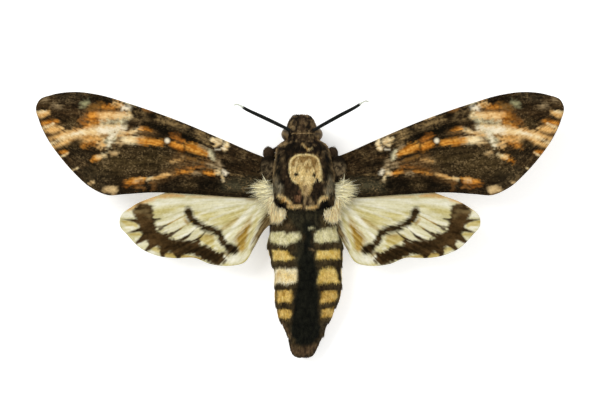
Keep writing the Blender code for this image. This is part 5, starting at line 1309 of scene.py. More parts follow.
# The hindwings
# Smaller and rounder than the forewings, in pale cream with a narrow and a broad dark band.
# Their hind part folds in soft pleats that run out from the root.
HINDWING_ROWS = 104
HINDWING_HEIGHT = 8.4
HINDWING_ROOT = (4.0, 6.0)
HINDWING_RIGHT_SHIFT = 0.9
HINDWING_OUTLINE = (
    (4.4, 8.3), (14.0, 10.2), (23.0, 9.9), (32.0, 7.0), (38.2, 4.4), (41.0, 1.9), (41.1, 0.0), (39.4, -2.2),
    (36.4, -5.2), (32.6, -6.9), (28.2, -7.5), (24.2, -7.4), (20.6, -8.8), (16.0, -9.25), (12.8, -8.5),
    (10.4, -4.9), (8.0, -0.9), (4.4, 1.9),
)
HINDWING_VEINS = (
    ((4.4, 7.6), (14.0, 8.9), (24.0, 7.8), (37.3, 4.6)),
    ((4.4, 6.9), (12.0, 7.0), (20.0, 5.8), (30.0, 4.2), (40.6, 1.2)),
    ((20.0, 5.8), (30.0, 2.2), (39.6, -1.9)),
    ((20.0, 5.8), (20.4, 3.8), (29.0, 0.4), (37.0, -4.6)),
    ((20.4, 3.8), (18.8, 2.0), (26.0, -2.2), (33.4, -6.5)),
    ((4.4, 5.9), (11.0, 4.8), (18.8, 2.0), (23.0, -2.4), (28.8, -7.3)),
    ((11.0, 4.8), (16.0, 0.6), (21.0, -4.6), (23.8, -7.3)),
    ((4.4, 4.6), (10.0, 2.4), (14.6, -3.6), (18.4, -8.9)),
    ((4.4, 3.6), (8.6, 1.2), (12.2, -4.6), (14.2, -8.9)),
)
WAX = (shade(206, 197, 146), shade(232, 226, 190))
MILK = (shade(226, 220, 184), shade(246, 242, 222))
OLIVE = (shade(186, 170, 96), shade(214, 202, 140))
SALLOW = (shade(142, 108, 34), shade(190, 158, 80))
PINK_OCHRE = (shade(206, 164, 100), shade(236, 206, 154))
UMBER = (shade(30, 22, 9, 0.0), shade(68, 52, 28, 0.1))
BROWN = (shade(40, 27, 10, 0.05), shade(84, 62, 34, 0.15))
DEEP_BROWN = (shade(24, 16, 6, 0.0), shade(50, 37, 18, 0.1))
DULL_YELLOW = (shade(184, 162, 88), shade(218, 202, 140))
DULL_OCHRE = (shade(158, 128, 62), shade(200, 176, 104))
GREY_HAIR = (shade(70, 54, 30), shade(136, 116, 76))
HINDWING_BAND = [
    (38.0, 3.1), (36.7, 1.9), (37.3, 0.6), (36.0, -0.1), (36.1, -1.4), (35.8, -2.7), (34.5, -3.4),
    (34.3, -4.6), (31.7, -5.0), (31.4, -6.4), (30.5, -6.0), (28.1, -6.0), (27.7, -6.9), (24.9, -6.5),
    (22.9, -6.7), (21.1, -8.4), (20.6, -8.9), (18.6, -9.0), (17.2, -8.4), (17.1, -7.7), (17.9, -6.0),
    (19.8, -6.0), (20.6, -5.0), (22.6, -4.5), (23.0, -2.9), (24.6, -3.9), (26.4, -3.8), (25.8, -2.6),
    (27.2, -3.4), (29.7, -3.2), (29.1, -1.8), (32.0, -1.9), (33.2, -1.2), (31.4, -0.4), (33.4, -0.3),
    (33.4, 0.9), (32.1, 1.4), (33.5, 1.9), (33.8, 3.3), (33.2, 4.4), (35.8, 4.3), (37.6, 3.8),
]
HINDWING_BAND_MIDDLE = [
    (35.8, 3.1, 2.1), (35.0, 1.0, 1.7), (34.6, -1.2, 1.7), (33.0, -3.0, 1.7), (30.4, -4.4, 1.6),
    (27.4, -5.0, 1.5), (24.6, -5.3, 1.5), (22.0, -6.1, 1.6), (19.8, -7.3, 1.6), (18.9, -7.8, 1.3),
]
HINDWING_GROUND_MARKS = (
    (MILK, 1.2, 0.6, 0.9, ((9.0, 5.7, 0.4), (16.0, 6.0, 0.5), (24.0, 5.4, 0.5), (33.0, 4.9, 0.4))),
    (OLIVE, 1.0, 0.5, 0.85, ((33.6, 2.6, 0.9), (31.0, 3.3, 0.9), (28.5, 3.9, 0.5), (26.8, 4.4, 0.2))),
    (OLIVE, 1.2, 0.6, 1.0, ((23.8, 2.7, 0.4), (20.5, 2.0, 1.0), (17.5, 1.7, 1.1), (14.5, 2.7, 0.7),
      (12.4, 3.8, 0.2))),
    # The cream, olive and sallow streaks that fan out over the inner part below are partly the wing's own
    # colour and partly painted light and shade of its pleats.
    (MILK, 0.5, 0.3, 0.8, ((24.4, 1.6, 0.15), (22.0, 2.9, 0.3), (18.0, 4.2, 0.3), (12.5, 5.2, 0.2))),
    (MILK, 0.4, 0.3, 0.7, ((20.6, 1.4, 0.12), (17.2, 2.7, 0.2), (13.0, 4.3, 0.15))),
    (OLIVE, 0.8, 0.4, 0.8, ((19.4, 0.2, 0.3), (16.6, 0.5, 0.5), (14.2, 1.4, 0.3))),
    (SALLOW, 0.8, 0.5, 0.6, ((17.9, -0.9, 0.2), (16.2, 0.2, 0.3), (14.0, 1.6, 0.2))),
    (MILK, 0.5, 0.3, 1.0, ((10.2, 4.6, 0.2), (12.4, 2.6, 0.4), (14.6, 0.0, 0.45), (17.0, -2.9, 0.3))),
    (SALLOW, 0.7, 0.4, 0.6, ((10.8, 2.4, 0.1), (12.8, -0.2, 0.25), (15.0, -3.2, 0.3))),
    (MILK, 0.5, 0.3, 0.9, ((9.3, 3.6, 0.2), (11.4, 0.6, 0.3), (15.2, -3.8, 0.25))),
    (SALLOW, 1.1, 0.6, 1.0, ((11.4, 0.8, 0.3), (12.4, -1.4, 0.8), (13.4, -3.3, 1.4), (13.2, -5.0, 1.0))),
    (OLIVE, 0.6, 0.3, 0.9, ((9.8, 1.8, 0.2), (10.9, -1.2, 0.35), (12.2, -4.8, 0.4))),
    (MILK, 0.5, 0.3, 0.9, ((9.0, 1.2, 0.2), (9.9, -1.4, 0.4), (11.4, -5.0, 0.4))),
    (MILK, 0.8, 0.4, 0.9, ((16.8, -7.4, 0.7), (14.2, -8.0, 0.9), (12.2, -6.8, 0.5))),
    (OLIVE, 0.3, 0.2, 0.9, ((17.4, -8.9, 0.15), (14.6, -9.25, 0.14), (12.4, -8.1, 0.16), (11.2, -6.2, 0.1))),
    (PINK_OCHRE, 0.7, 0.4, 1.0, ((39.2, 3.7, 0.35), (36.5, 4.9, 0.6), (34.3, 5.9, 0.5), (32.8, 6.4, 0.3))),
    (PINK_OCHRE, 0.6, 0.3, 1.0, ((31.8, 6.7, 0.4), (29.0, 7.0, 0.55), (26.4, 6.7, 0.3))),
    (PINK_OCHRE, 0.5, 0.3, 0.6, ((25.6, 6.6, 0.25), (20.0, 6.7, 0.3), (12.0, 6.5, 0.3))),
    (SALLOW, 0.8, 0.4, 0.7, ((7.5, 5.6, 0.5), (10.2, 5.9, 0.3), (12.0, 6.1, 0.2))),
    (MILK, 0.4, 0.3, 0.9, ((40.6, 2.2, 0.4), (39.4, 2.4, 0.6), (38.6, 2.2, 0.3))),
    (DULL_YELLOW, 0.4, 0.3, 1.0, ((40.9, 1.1, 0.2), (39.4, 0.5, 0.55), (37.6, 0.1, 0.5))),
    (MILK, 0.4, 0.3, 0.8, ((39.6, -0.7, 0.3), (38.2, -0.6, 0.4))),
    (DULL_YELLOW, 0.5, 0.3, 0.9, ((38.6, -2.0, 0.3), (37.0, -2.0, 0.35), (36.2, -2.2, 0.3))),
    (MILK, 0.4, 0.3, 0.8, ((37.4, -3.0, 0.3), (36.6, -3.9, 0.3))),
    (DULL_YELLOW, 0.4, 0.3, 1.0, ((34.2, -4.9, 0.4), (32.4, -5.6, 0.6))),
    (MILK, 0.4, 0.3, 0.8, ((35.0, -5.4, 0.25), (33.6, -6.2, 0.25))),
    (DULL_OCHRE, 0.4, 0.2, 1.0, ((30.6, -6.6, 0.4), (28.6, -6.7, 0.4), (25.0, -7.2, 0.35),
      (22.6, -7.6, 0.35))),
    (DULL_YELLOW, 0.3, 0.2, 0.9, ((30.4, -7.1, 0.2), (28.6, -7.3, 0.2))),
    (MILK, 0.4, 0.3, 0.9, ((32.4, 0.3, 0.3), (29.6, 1.2, 0.45), (26.6, 2.8, 0.25))),
    (MILK, 0.4, 0.3, 0.9, ((30.8, -1.3, 0.3), (28.0, -0.4, 0.5), (25.6, 1.0, 0.3))),
    (MILK, 0.4, 0.3, 0.9, ((27.8, -2.8, 0.3), (25.6, -1.8, 0.45), (23.6, -0.2, 0.25))),
    (MILK, 0.4, 0.3, 0.7, ((25.4, -3.4, 0.2), (24.0, -2.8, 0.35), (22.4, -1.4, 0.3))),
    (DULL_YELLOW, 0.4, 0.2, 1.0, ((22.6, -2.8, 0.7), (20.6, -3.6, 1.0))),
    (DULL_OCHRE, 0.4, 0.2, 0.7, ((21.6, -2.2, 0.3), (19.9, -2.6, 0.4))),
    (OLIVE, 0.5, 0.3, 0.8, ((20.0, -4.8, 0.6), (18.7, -5.6, 0.6))),
    (MILK, 0.4, 0.2, 0.8, ((19.4, -5.2, 0.35), (18.9, -5.4, 0.3))),
    (DULL_OCHRE, 0.5, 0.3, 0.7, ((17.2, -6.4, 0.3), (16.4, -6.9, 0.25))),
    (GREY_HAIR, 0.9, 0.6, 1.0, ((7.2, 1.9, 1.1), (8.2, -0.4, 1.3), (9.3, -2.4, 1.0), (10.9, -5.4, 0.5))),
)
HINDWING_BAND_MARKS = (
    (SALLOW, 0.5, 0.3, 0.8, ((26.4, 1.4, 0.3), (25.6, 0.4, 0.35))),
    (UMBER, 0.8, 0.5, 1.0, (
        (25.5, 3.4, 0.9), (25.2, 2.2, 0.9), (24.2, 0.8, 0.8), (22.7, 0.0, 0.75), (21.0, -0.7, 0.8),
        (19.3, -1.2, 0.9), (18.3, -2.1, 0.8), (17.9, -3.4, 0.75), (17.2, -4.4, 0.85), (15.8, -5.2, 1.2),
        (15.0, -5.7, 0.8),
    )),
    (DEEP_BROWN, 0.9, 0.4, 0.8, ((16.4, -4.9, 0.7), (15.2, -5.6, 0.6))),
    (BROWN, 0.8, 0.5, 0.7, ((17.8, -6.4, 0.3), (16.6, -6.2, 0.5))),
    (BROWN, 0.35, 0.2, 1.0, ((37.2, 1.0, 0.4), (39.0, 1.3, 0.2), (40.7, 1.4, 0.08))),
    (BROWN, 0.35, 0.2, 1.0, ((36.0, -0.9, 0.45), (38.0, -1.4, 0.22), (39.7, -1.9, 0.1))),
    (BROWN, 0.35, 0.2, 1.0, ((35.2, -2.4, 0.9), (36.4, -3.3, 0.55), (37.3, -3.95, 0.22))),
    (BROWN, 0.35, 0.2, 1.0, ((33.4, -4.0, 1.0), (34.5, -5.1, 0.6), (35.2, -5.7, 0.28))),
    (BROWN, 0.35, 0.2, 1.0, ((31.0, -5.6, 1.0), (31.4, -6.4, 0.6), (31.4, -7.1, 0.4))),
    (BROWN, 0.35, 0.2, 1.0, ((28.0, -6.2, 1.0), (27.8, -6.9, 0.6), (27.8, -7.5, 0.45))),
    (BROWN, 0.3, 0.2, 0.9, ((33.8, 1.0, 0.4), (31.6, 1.5, 0.1))),
    (BROWN, 0.3, 0.2, 0.9, ((32.0, -0.8, 0.5), (30.6, 0.0, 0.16), (29.6, 0.5, 0.04))),
    (SALLOW, 0.25, 0.15, 0.9, ((30.2, 0.2, 0.12), (28.2, 1.3, 0.08), (26.0, 2.4, 0.06))),
    (BROWN, 0.3, 0.2, 0.9, ((29.6, -2.2, 0.5), (28.2, -1.3, 0.18), (27.0, -0.6, 0.05))),
    (SALLOW, 0.25, 0.15, 0.9, ((27.4, -0.8, 0.12), (26.2, 0.0, 0.08), (24.6, 0.8, 0.06))),
    (BROWN, 0.25, 0.15, 0.9, ((25.8, -2.6, 0.22), (24.3, -1.2, 0.09), (23.2, -0.2, 0.06))),
    (BROWN, 0.25, 0.15, 0.9, ((23.0, -2.9, 0.18), (21.6, -1.5, 0.08))),
    (DEEP_BROWN, 1.4, 0.6, 0.9, ((31.0, -3.8, 0.4), (26.0, -5.3, 0.8), (22.0, -6.2, 0.9), (19.0, -7.8, 0.9))),
    (GREY_HAIR, 0.9, 0.7, 0.75, ((37.4, 3.2, 0.4), (35.4, 3.7, 0.7), (34.4, 2.2, 0.4))),
)


def hindwing_level(x, y):
    """The hindwing lies under the forewing, and rises towards it where the two overlap."""
    tucked = 0.45 * rise_between(0.0, 8.0, y)
    return HINDWING_HEIGHT + tucked + 0.03 * (x - 7.0) - 0.03 * (7.0 - np.minimum(y, 7.0))


def along_rays(x, y, seed):
    """Unevenness of scales in streaks that fan out from the wing's root."""
    turn = np.arctan2(y - HINDWING_ROOT[1], x - HINDWING_ROOT[0])
    reach = np.hypot(y - HINDWING_ROOT[1], x - HINDWING_ROOT[0])
    long = ragged(turn * 30 + 20, reach / 5.5, 1.0, seed)
    short = ragged(turn * 78 + 50, reach / 2.4, 1.0, seed + 1)
    return long * 0.55 + short * 0.5 + ragged(x, y, 0.4, seed + 2) * 0.3


def hindwing_canvas(x, y, down, side):
    """The bands lie a little further out on the right wing than on the left."""
    if side > 0:
        x = x - HINDWING_RIGHT_SHIFT * rise_between(19.0, 25.0, x)
    canvas = Canvas(x, y, WAX, along_rays(x, y, 51), along_rays(x, y, 54))
    for colour, soft, rough, share, points in HINDWING_GROUND_MARKS:
        canvas.stroke(colour, points, soft, rough, share)
    canvas.patch(BROWN, HINDWING_BAND, 0.7, 0.75)
    canvas.stroke(BROWN, HINDWING_BAND_MIDDLE, 0.8, 0.7)
    for colour, soft, rough, share, points in HINDWING_BAND_MARKS:
        canvas.stroke(colour, points, soft, rough, share)
    return canvas


def hindwing_pleat(x, y, down):
    """Fine pleats that fan out from the root, and soft broad ones in the hind part."""
    turn = np.arctan2(y - HINDWING_ROOT[1], x - HINDWING_ROOT[0])
    reach = rise_between(4.0, 12.0, np.hypot(x - HINDWING_ROOT[0], y - HINDWING_ROOT[1]))
    soft = 0.22 * np.sin(turn * 17.0 + 1.0) * rise_between(0.2, 0.9, down)
    return reach * (0.11 * np.sin(turn * 46.0) + soft)


hindwing_paint = scale_paint("hindwing scales", tint(120, 100, 62), 0.3, 0.8)
for word, side in SIDES.items():
    wing = build_wing(
        f"hindwing_scales_{word}", side, HINDWING_OUTLINE, HINDWING_ROWS, HINDWING_VEINS,
        hindwing_level, hindwing_canvas, hindwing_pleat, hindwing_paint,
    )
    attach(wing, "root")
    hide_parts(f"hindwing_{word}")


# The eyes
# Large round compound eyes at the sides of the head, of many tiny hexagonal lenses under one clear shell.
# The hair of the head covers their upper and rear part.
EYE_CENTRE = (2.95, 20.85, 7.3)
EYE_RADII = (1.8, 1.7, 2.05)
EYE_COLUMNS = 48
EYE_ROWS = 32
LENSES_PER_METRE = 7500.0
eye_paint = Paint("eye shell")
lens_sockets = {"Vector": eye_paint.place(), "Scale": LENSES_PER_METRE, "Randomness": 0.15}
lenses = eye_paint.add("ShaderNodeTexVoronoi", {}, lens_sockets, "Distance")
eye_cloud = eye_paint.noise(eye_paint.place(), 900.0, 2.0)
eye_looks = {
    "Base Color": eye_paint.blend(eye_cloud.between(0.3, 0.75), tint(52, 40, 22), tint(112, 90, 56)),
    "Roughness": 0.4,
    "Specular IOR Level": 0.2,
    "Normal": eye_paint.bump(1.0 - lenses, 0.5, 0.00004),
}
eye_shell = eye_paint.surface(eye_looks)


def ball(centre, radii, columns, rows):
    """Points and faces of a closed ball, from its front pole to its rear pole along y."""
    around = np.linspace(0, 2 * np.pi, columns, endpoint=False)
    turn, polar = np.meshgrid(around, np.linspace(0, np.pi, rows + 1))
    turn, polar = turn[1:-1], polar[1:-1]
    rings = np.stack([np.sin(polar) * np.cos(turn), np.cos(polar), np.sin(polar) * np.sin(turn)], axis=-1)
    points, faces = sleeve(rings * np.array(radii) + np.array(centre))
    points[-2] = np.array(centre) + (0, radii[1], 0)
    points[-1] = np.array(centre) - (0, radii[1], 0)
    return points, faces


def from_axis(place, side):
    """A place given from the body's own middle, on one side of it."""
    x, y, z = place
    return np.array([float(axis_x(y)) + side * x, y, z])


for word, side in SIDES.items():
    points, faces = ball(from_axis(EYE_CENTRE, side), EYE_RADII, EYE_COLUMNS, EYE_ROWS)
    eye = put_in_scene(f"eye_{word}_lenses", make_mesh(f"eye_{word}_lenses", points, faces))
    eye.data.materials.append(eye_shell)
    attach(eye, "root")
    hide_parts(f"eye_{word}")


# The antennae
# Short stout rods of some seventy hard black rings, thickest in the middle, each in a sleeve of scales.
# The last rings are white, thin and bent back as a hook.
ANTENNA_PATH = ((2.3, 21.5, 9.0), (3.4, 22.1, 9.5), (8.4, 24.7, 10.3), (12.9, 27.0, 10.6), (14.0, 27.7, 10.6))
ANTENNA_HOOK = ((14.7, 28.0, 10.5), (15.2, 27.85, 10.3))
ANTENNA_TILT = 0.03
ANTENNA_GIRTH = 0.44
ANTENNA_TIP_GIRTH = 0.19
ANTENNA_RING = 0.2
WHITE_TIP = 2.2


def way_along(line):
    """The direction in which a line of points runs, at each of them."""
    runs = np.gradient(line, axis=0)
    return runs / np.linalg.norm(runs, axis=1)[:, None]


def smooth_path(points, step):
    """A smooth path through points in space, cut at even steps."""
    points = np.asarray(points, float)
    places = np.append(0.0, np.cumsum(np.linalg.norm(np.diff(points, axis=0), axis=1)))
    at = np.linspace(0, places[-1], max(2, int(round(places[-1] / step)) + 1))
    return np.stack([through(places, points[:, k], at) for k in range(3)], axis=1), at / places[-1]


ring_tree = bpy.data.node_groups.new("rings along a rod", "GeometryNodeTree")
ring_rule = Graph(ring_tree)
ring_tree.interface.new_socket("Middle", in_out="INPUT", socket_type="NodeSocketGeometry")
for label in ("Ring length", "Waist"):
    ring_tree.interface.new_socket(label, in_out="INPUT", socket_type="NodeSocketFloat")
ring_tree.interface.new_socket("Sides", in_out="INPUT", socket_type="NodeSocketInt")
ring_tree.interface.new_socket("Shell", in_out="INPUT", socket_type="NodeSocketMaterial")
ring_tree.interface.new_socket("Rod", in_out="OUTPUT", socket_type="NodeSocketGeometry")
given = ring_rule.add("NodeGroupInput")
ring_sockets = {"Vertices": given.other("Sides"), "Side Segments": 3, "Radius": 1.0, "Depth": 1.0}
bead = ring_rule.add("GeometryNodeMeshCylinder", {"fill_type": "NGON"}, ring_sockets, "Mesh")
bead_corner = ring_rule.add("ShaderNodeSeparateXYZ", {}, {0: ring_rule.add("GeometryNodeInputPosition")})
bead_girth = 1.0 - given.other("Waist") * (bead_corner.other("Z") * 2.0) ** 2.0
bead_shape = {0: bead_corner * bead_girth, 1: bead_corner.other("Y") * bead_girth, 2: bead_corner.other("Z")}
bead_place = ring_rule.add("ShaderNodeCombineXYZ", {}, bead_shape)
bead = ring_rule.add("GeometryNodeSetPosition", {}, {"Geometry": bead, "Position": bead_place})
tangent = ring_rule.add("GeometryNodeInputNamedAttribute", {"data_type": "FLOAT_VECTOR"}, {"Name": "lie"})
girth = ring_rule.add("GeometryNodeInputNamedAttribute", {"data_type": "FLOAT"}, {"Name": "girth"})
bead_turn = ring_rule.add(
    "FunctionNodeAxesToRotation",
    {"primary_axis": "Z", "secondary_axis": "Y"},
    {"Primary Axis": tangent, "Secondary Axis": (0.0, 0.0, 1.0)},
)
bead_size = ring_rule.add("ShaderNodeCombineXYZ", {}, {0: girth, 1: girth, 2: given.other("Ring length")})
rod = ring_rule.add(
    "GeometryNodeInstanceOnPoints",
    {},
    {"Points": given.other("Middle"), "Instance": bead, "Rotation": bead_turn, "Scale": bead_size},
)
rod = ring_rule.add("GeometryNodeRealizeInstances", {}, {"Geometry": rod})
rod = ring_rule.add("GeometryNodeSetMaterial", {}, {"Geometry": rod, "Material": given.other("Shell")})
ring_rule.add("NodeGroupOutput", {}, {"Rod": rod})

antenna_paint = Paint("antenna scales")
antenna_specks = antenna_paint.noise(antenna_paint.place(), 6000.0, 2.0)
antenna_rub = antenna_paint.blend(0.85, (0.02, 0.02, 0.015, 1.0), antenna_paint.laid("coat_colour"))
antenna_looks = {
    "Base Color": antenna_paint.blend(antenna_specks, antenna_paint.laid("coat_colour"), antenna_rub),
    "Roughness": 0.6,
    "Specular IOR Level": 0.12,
    "Normal": antenna_paint.bump(antenna_specks, 0.4, 0.00004),
}
antenna_shell = antenna_paint.surface(antenna_looks)
for word, side in SIDES.items():
    bends = []
    for x, y, z in ANTENNA_PATH + ANTENNA_HOOK:
        tilted = y + side * ANTENNA_TILT * (x - ANTENNA_PATH[0][0])
        bends.append(from_axis((x, tilted, z), side))
    line, part = smooth_path(bends, ANTENNA_RING)
    reach = len(line) * ANTENNA_RING
    thin = rise_between(1 - (WHITE_TIP + 0.3) / reach, 1 - (WHITE_TIP - 0.9) / reach, part)
    stout = ANTENNA_GIRTH * (0.8 + 0.22 * np.sin(np.pi * np.minimum(part * 1.15, 1)))
    white = rise_between(1 - (WHITE_TIP + 0.15) / reach, 1 - (WHITE_TIP - 0.15) / reach, part)[:, None]
    middle = bpy.data.meshes.new("antenna_middle")
    middle.from_pydata((line * MM).tolist(), [], [])
    lay(middle, "lie", way_along(line), "FLOAT_VECTOR")
    lay(middle, "girth", (stout * (1 - thin) + ANTENNA_TIP_GIRTH * thin) * MM)
    colours = np.array(tint(16, 18, 15)) * (1 - white) + np.array(tint(206, 210, 196)) * white
    lay(middle, "coat_colour", colours, "FLOAT_COLOR")
    antenna_middle = put_in_scene(f"antenna_{word}_middle", middle)
    ring_sizes = {"Ring length": ANTENNA_RING * 1.04 * MM, "Waist": 0.1, "Sides": 14, "Shell": antenna_shell}
    antenna = grow(f"antenna_{word}_rings", antenna_middle, ring_tree, ring_sizes)
    bpy.data.objects.remove(antenna_middle)
    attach(antenna, "root")
    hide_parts(f"antenna_{word}")


# The palps and the tongue
# Two short thick feelers of hair and scales curve up in front of the face, on either side of the tongue.
# The tongue is short, stout and ribbed, and lies rolled up between them like a watch spring.
PALP_PATH = ((1.35, 21.6, 3.6), (1.5, 22.9, 2.9), (1.45, 24.1, 4.0), (1.3, 24.4, 5.3), (1.15, 24.0, 6.3))
PALP_RADII = (0.6, 0.85, 0.8, 0.65, 0.3)
TONGUE_CENTRE = (22.8, 2.6)
TONGUE_RADIUS = 1.45
TONGUE_PITCH = 0.85
TONGUE_TURNS = 1.6
TONGUE_GIRTH = 0.28
TONGUE_RIBS = 70


def hose(name, path, radii, around, step):
    """A tapering closed skin along a smooth path. Its hair lies towards the far end."""
    line, part = smooth_path(path, step)
    girth = through(np.linspace(0, 1, len(radii)), radii, part)
    ahead = way_along(line)
    turn = np.array([0.0, 0.0, 1.0]) if abs(ahead[0][2]) < 0.9 else np.array([1.0, 0.0, 0.0])
    angles = np.linspace(0, 2 * np.pi, around, endpoint=False)
    rings = []
    for place, way, radius in zip(line, ahead, girth):
        turn = turn - way * (turn @ way)
        turn /= np.linalg.norm(turn)
        across = np.cross(way, turn)
        rings.append(place + (np.outer(np.cos(angles), turn) + np.outer(np.sin(angles), across)) * radius)
    rings = np.array(rings)
    dome = rings[-1].mean(axis=0) + ahead[-1] * girth[-1] * 0.6
    base = rings[0].mean(axis=0) - ahead[0] * girth[0] * 0.6
    points, faces = sleeve(rings)
    points[-2], points[-1] = base, dome
    mesh = make_mesh(name, points, faces)
    ways = np.concatenate([np.repeat(ahead, around, axis=0), [ahead[0], ahead[-1]]])
    lay(mesh, "lie", ways, "FLOAT_VECTOR")
    passed = np.repeat(part, around)
    places = np.stack([np.tile(angles / (2 * np.pi), len(line)), passed, 0 * passed])
    lay(mesh, "root_uv", np.concatenate([places.T, [(0, 0, 0), (0, 1, 0)]]), "FLOAT_VECTOR")
    return mesh


def coat_ready(mesh, colour, hair=1.0, cover=1.0):
    """Lays one colour, hair length and density on a whole skin, and its unwrap."""
    count = len(mesh.vertices)
    lay(mesh, "coat_colour", np.tile(np.array(colour), (count, 1)), "FLOAT_COLOR")
    lay(mesh, "hair", np.full(count, hair))
    lay(mesh, "cover", np.full(count, cover))
    mesh.uv_layers.new(name="OFBake")
    return mesh


small_sizes = dict(thorax_sizes)
small_sizes.update({
    "Tufts per square mm": 16.0, "Length": 0.8 * MM, "Lift": 0.35, "Spread": 0.25, "Width": 0.09 * MM,
})
leg_skin = skin_paint.material
for word, side in SIDES.items():
    mesh = hose(f"palp_{word}_skin", [from_axis(p, side) for p in PALP_PATH], PALP_RADII, 20, 0.15)
    palp = put_in_scene(f"palp_{word}_skin", coat_ready(mesh, tint(70, 55, 38)))
    palp_fur = grow(f"palp_{word}_fur", palp, on_skin, small_sizes)
    palp.data.materials.append(leg_skin)
    for piece in (palp, palp_fur):
        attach(piece, "root")
        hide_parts(f"palp_{word}")

turns = np.linspace(0, 2 * np.pi * TONGUE_TURNS, 60)
coil_radius = TONGUE_RADIUS - TONGUE_PITCH * turns / (2 * np.pi)
coil_y = TONGUE_CENTRE[0] - coil_radius * np.cos(turns)
coil_z = TONGUE_CENTRE[1] + coil_radius * np.sin(turns)
coil = np.stack([axis_x(coil_y), coil_y, coil_z], axis=1)
tongue_girths = TONGUE_GIRTH * (1 + 0.08 * np.sin(np.arange(4 * TONGUE_RIBS) * np.pi / 2))
tongue_mesh = hose("tongue_coil", coil, tongue_girths, 16, 0.05)
tongue_paint = Paint("tongue shell")
tongue_cloud = tongue_paint.noise(tongue_paint.place(), 1500.0, 2.0)
tongue_looks = {
    "Base Color": tongue_paint.blend(tongue_cloud, tint(66, 40, 20), tint(120, 78, 40)),
    "Roughness": 0.35,
    "Normal": tongue_paint.bump(tongue_cloud, 0.3, 0.00005),
}
tongue_mesh.materials.append(tongue_paint.surface(tongue_looks))
tongue = put_in_scene("tongue_coil", tongue_mesh)
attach(tongue, "root")
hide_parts("proboscis")


# The legs
# Six jointed legs, thick with hair to the ankle. The forelegs are drawn up, and their knees show in front.
# Each foot has five short joints and two claws, and the hind pairs have spurs on the shin.
LEGS = {
    "foreleg": ((1.9, 15.0, 4.2), (2.4, 14.2, 1.6), (7.35, 16.5, 6.6), (3.5, 18.9, 1.5), (2.4, 24.0, 0.42)),
    "midleg": ((2.1, 10.8, 3.9), (2.6, 9.7, 1.2), (8.7, 11.0, 4.9), (10.4, 3.8, 1.4), (11.6, -2.6, 0.4)),
    "hindleg": ((2.0, 6.2, 3.9), (2.4, 5.4, 1.2), (7.5, 4.7, 3.4), (7.7, -2.6, 0.85), (7.1, -10.4, 0.4)),
}
JOINT_RADII = ((0.85, 0.75), (0.65, 0.6), (0.5, 0.4))
KNEES = {"foreleg": (1.25, 1.5, 1.4), "midleg": (0.65, 0.7, 0.7), "hindleg": (0.65, 0.7, 0.7)}
KNEE_SHIFTS = {"foreleg": -0.5, "midleg": 0.0, "hindleg": 0.0}
SPURS = {"foreleg": (), "midleg": (0.96,), "hindleg": (0.62, 0.96)}
FOOT_JOINTS = 5
FOOT_RADIUS = 0.24
CLAW_LENGTH = 0.55
LEG_BROWN = tint(66, 52, 38)
leg_sizes = dict(small_sizes)
leg_sizes.update({"Length": 0.75 * MM, "Tufts per square mm": 13.0, "Seed": 17})


def join(name, meshes):
    """Several meshes as one, with what is laid on them."""
    shape = bmesh.new()
    for mesh in meshes:
        shape.from_mesh(mesh)
    joined = bpy.data.meshes.new(name)
    shape.to_mesh(joined)
    shape.free()
    joined.shade_smooth()
    return joined


claw_paint = Paint("claw shell")
claw_cloud = claw_paint.noise(claw_paint.place(), 2500.0, 1.0)
claw_colour = claw_paint.blend(claw_cloud, tint(28, 20, 14), tint(70, 50, 32))
claw_looks = {"Base Color": claw_colour, "Roughness": 0.4}
claw_shell = claw_paint.surface(claw_looks)
for kind, joints in LEGS.items():
    for word, side in SIDES.items():
        places = [from_axis(p, side) for p in joints]
        places[2][0] += KNEE_SHIFTS[kind]
        parts = []
        for a, b, radii in zip(places, places[1:], JOINT_RADII):
            swell = (radii[0] * 0.9, (radii[0] + radii[1]) / 2 * 1.08, radii[1])
            parts.append(coat_ready(hose("limb", [a, (a + b) / 2, b], swell, 20, 0.25), LEG_BROWN))
        points, faces = ball(places[2], KNEES[kind], 24, 16)
        knee = make_mesh("knee", points, faces)
        over_knee = way_along(np.array(places[1:4]))[1]
        lay(knee, "lie", np.tile(over_knee, (len(points), 1)), "FLOAT_VECTOR")
        lay(knee, "root_uv", points * (0.05, 0.05, 0.0), "FLOAT_VECTOR")
        parts.append(coat_ready(knee, LEG_BROWN, 0.6))
        leg = put_in_scene(f"{kind}_{word}_skin", join(f"{kind}_{word}_skin", parts))
        leg_fur = grow(f"{kind}_{word}_fur", leg, on_skin, leg_sizes)
        leg.data.materials.clear()
        leg.data.materials.append(leg_skin)

        shin, foot = places[3] - places[2], places[4] - places[3]
        hard = []
        for k in range(FOOT_JOINTS):
            a = places[3] + foot * (k / FOOT_JOINTS)
            b = places[3] + foot * ((k + 0.97) / FOOT_JOINTS)
            swell = np.array((0.7, 0.75, 1.0)) * FOOT_RADIUS
            hard.append(hose("foot joint", [a, (a + b) / 2, b], swell, 12, 0.12))
        for part in SPURS[kind]:
            for lean in (-1, 1):
                a = places[2] + shin * part
                way = shin / np.linalg.norm(shin) + np.array([0.45 * lean, 0.0, 0.05])
                hard.append(hose("spur", [a, a + way * 0.6, a + way * 1.15], (0.15, 0.11, 0.03), 10, 0.1))
        for lean in (-1, 1):
            away = np.array([lean * 0.5, 0.0, 0.25]) + foot / np.linalg.norm(foot)
            a = places[4] - foot * 0.02
            tip = a + away * CLAW_LENGTH
            curve = [a, (a + tip) / 2 + (0, 0, 0.08), (tip[0], tip[1], 0.1)]
            hard.append(hose("claw", curve, (0.09, 0.07, 0.02), 8, 0.06))
        feet = put_in_scene(f"{kind}_{word}_foot", join(f"{kind}_{word}_foot", hard))
        feet.data.materials.clear()
        feet.data.materials.append(claw_shell)
        for piece in (leg, leg_fur, feet):
            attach(piece, "root")
            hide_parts(f"{kind}_{word}")


# The hair at the wings' roots
# Long silky cream hair grows in pointed locks from the thorax's sides over the roots of both wings.
# In front of it, short brown hair covers the hinge of the forewing.
LOCK_SPREAD = (0.4, 0.45, 0.26)
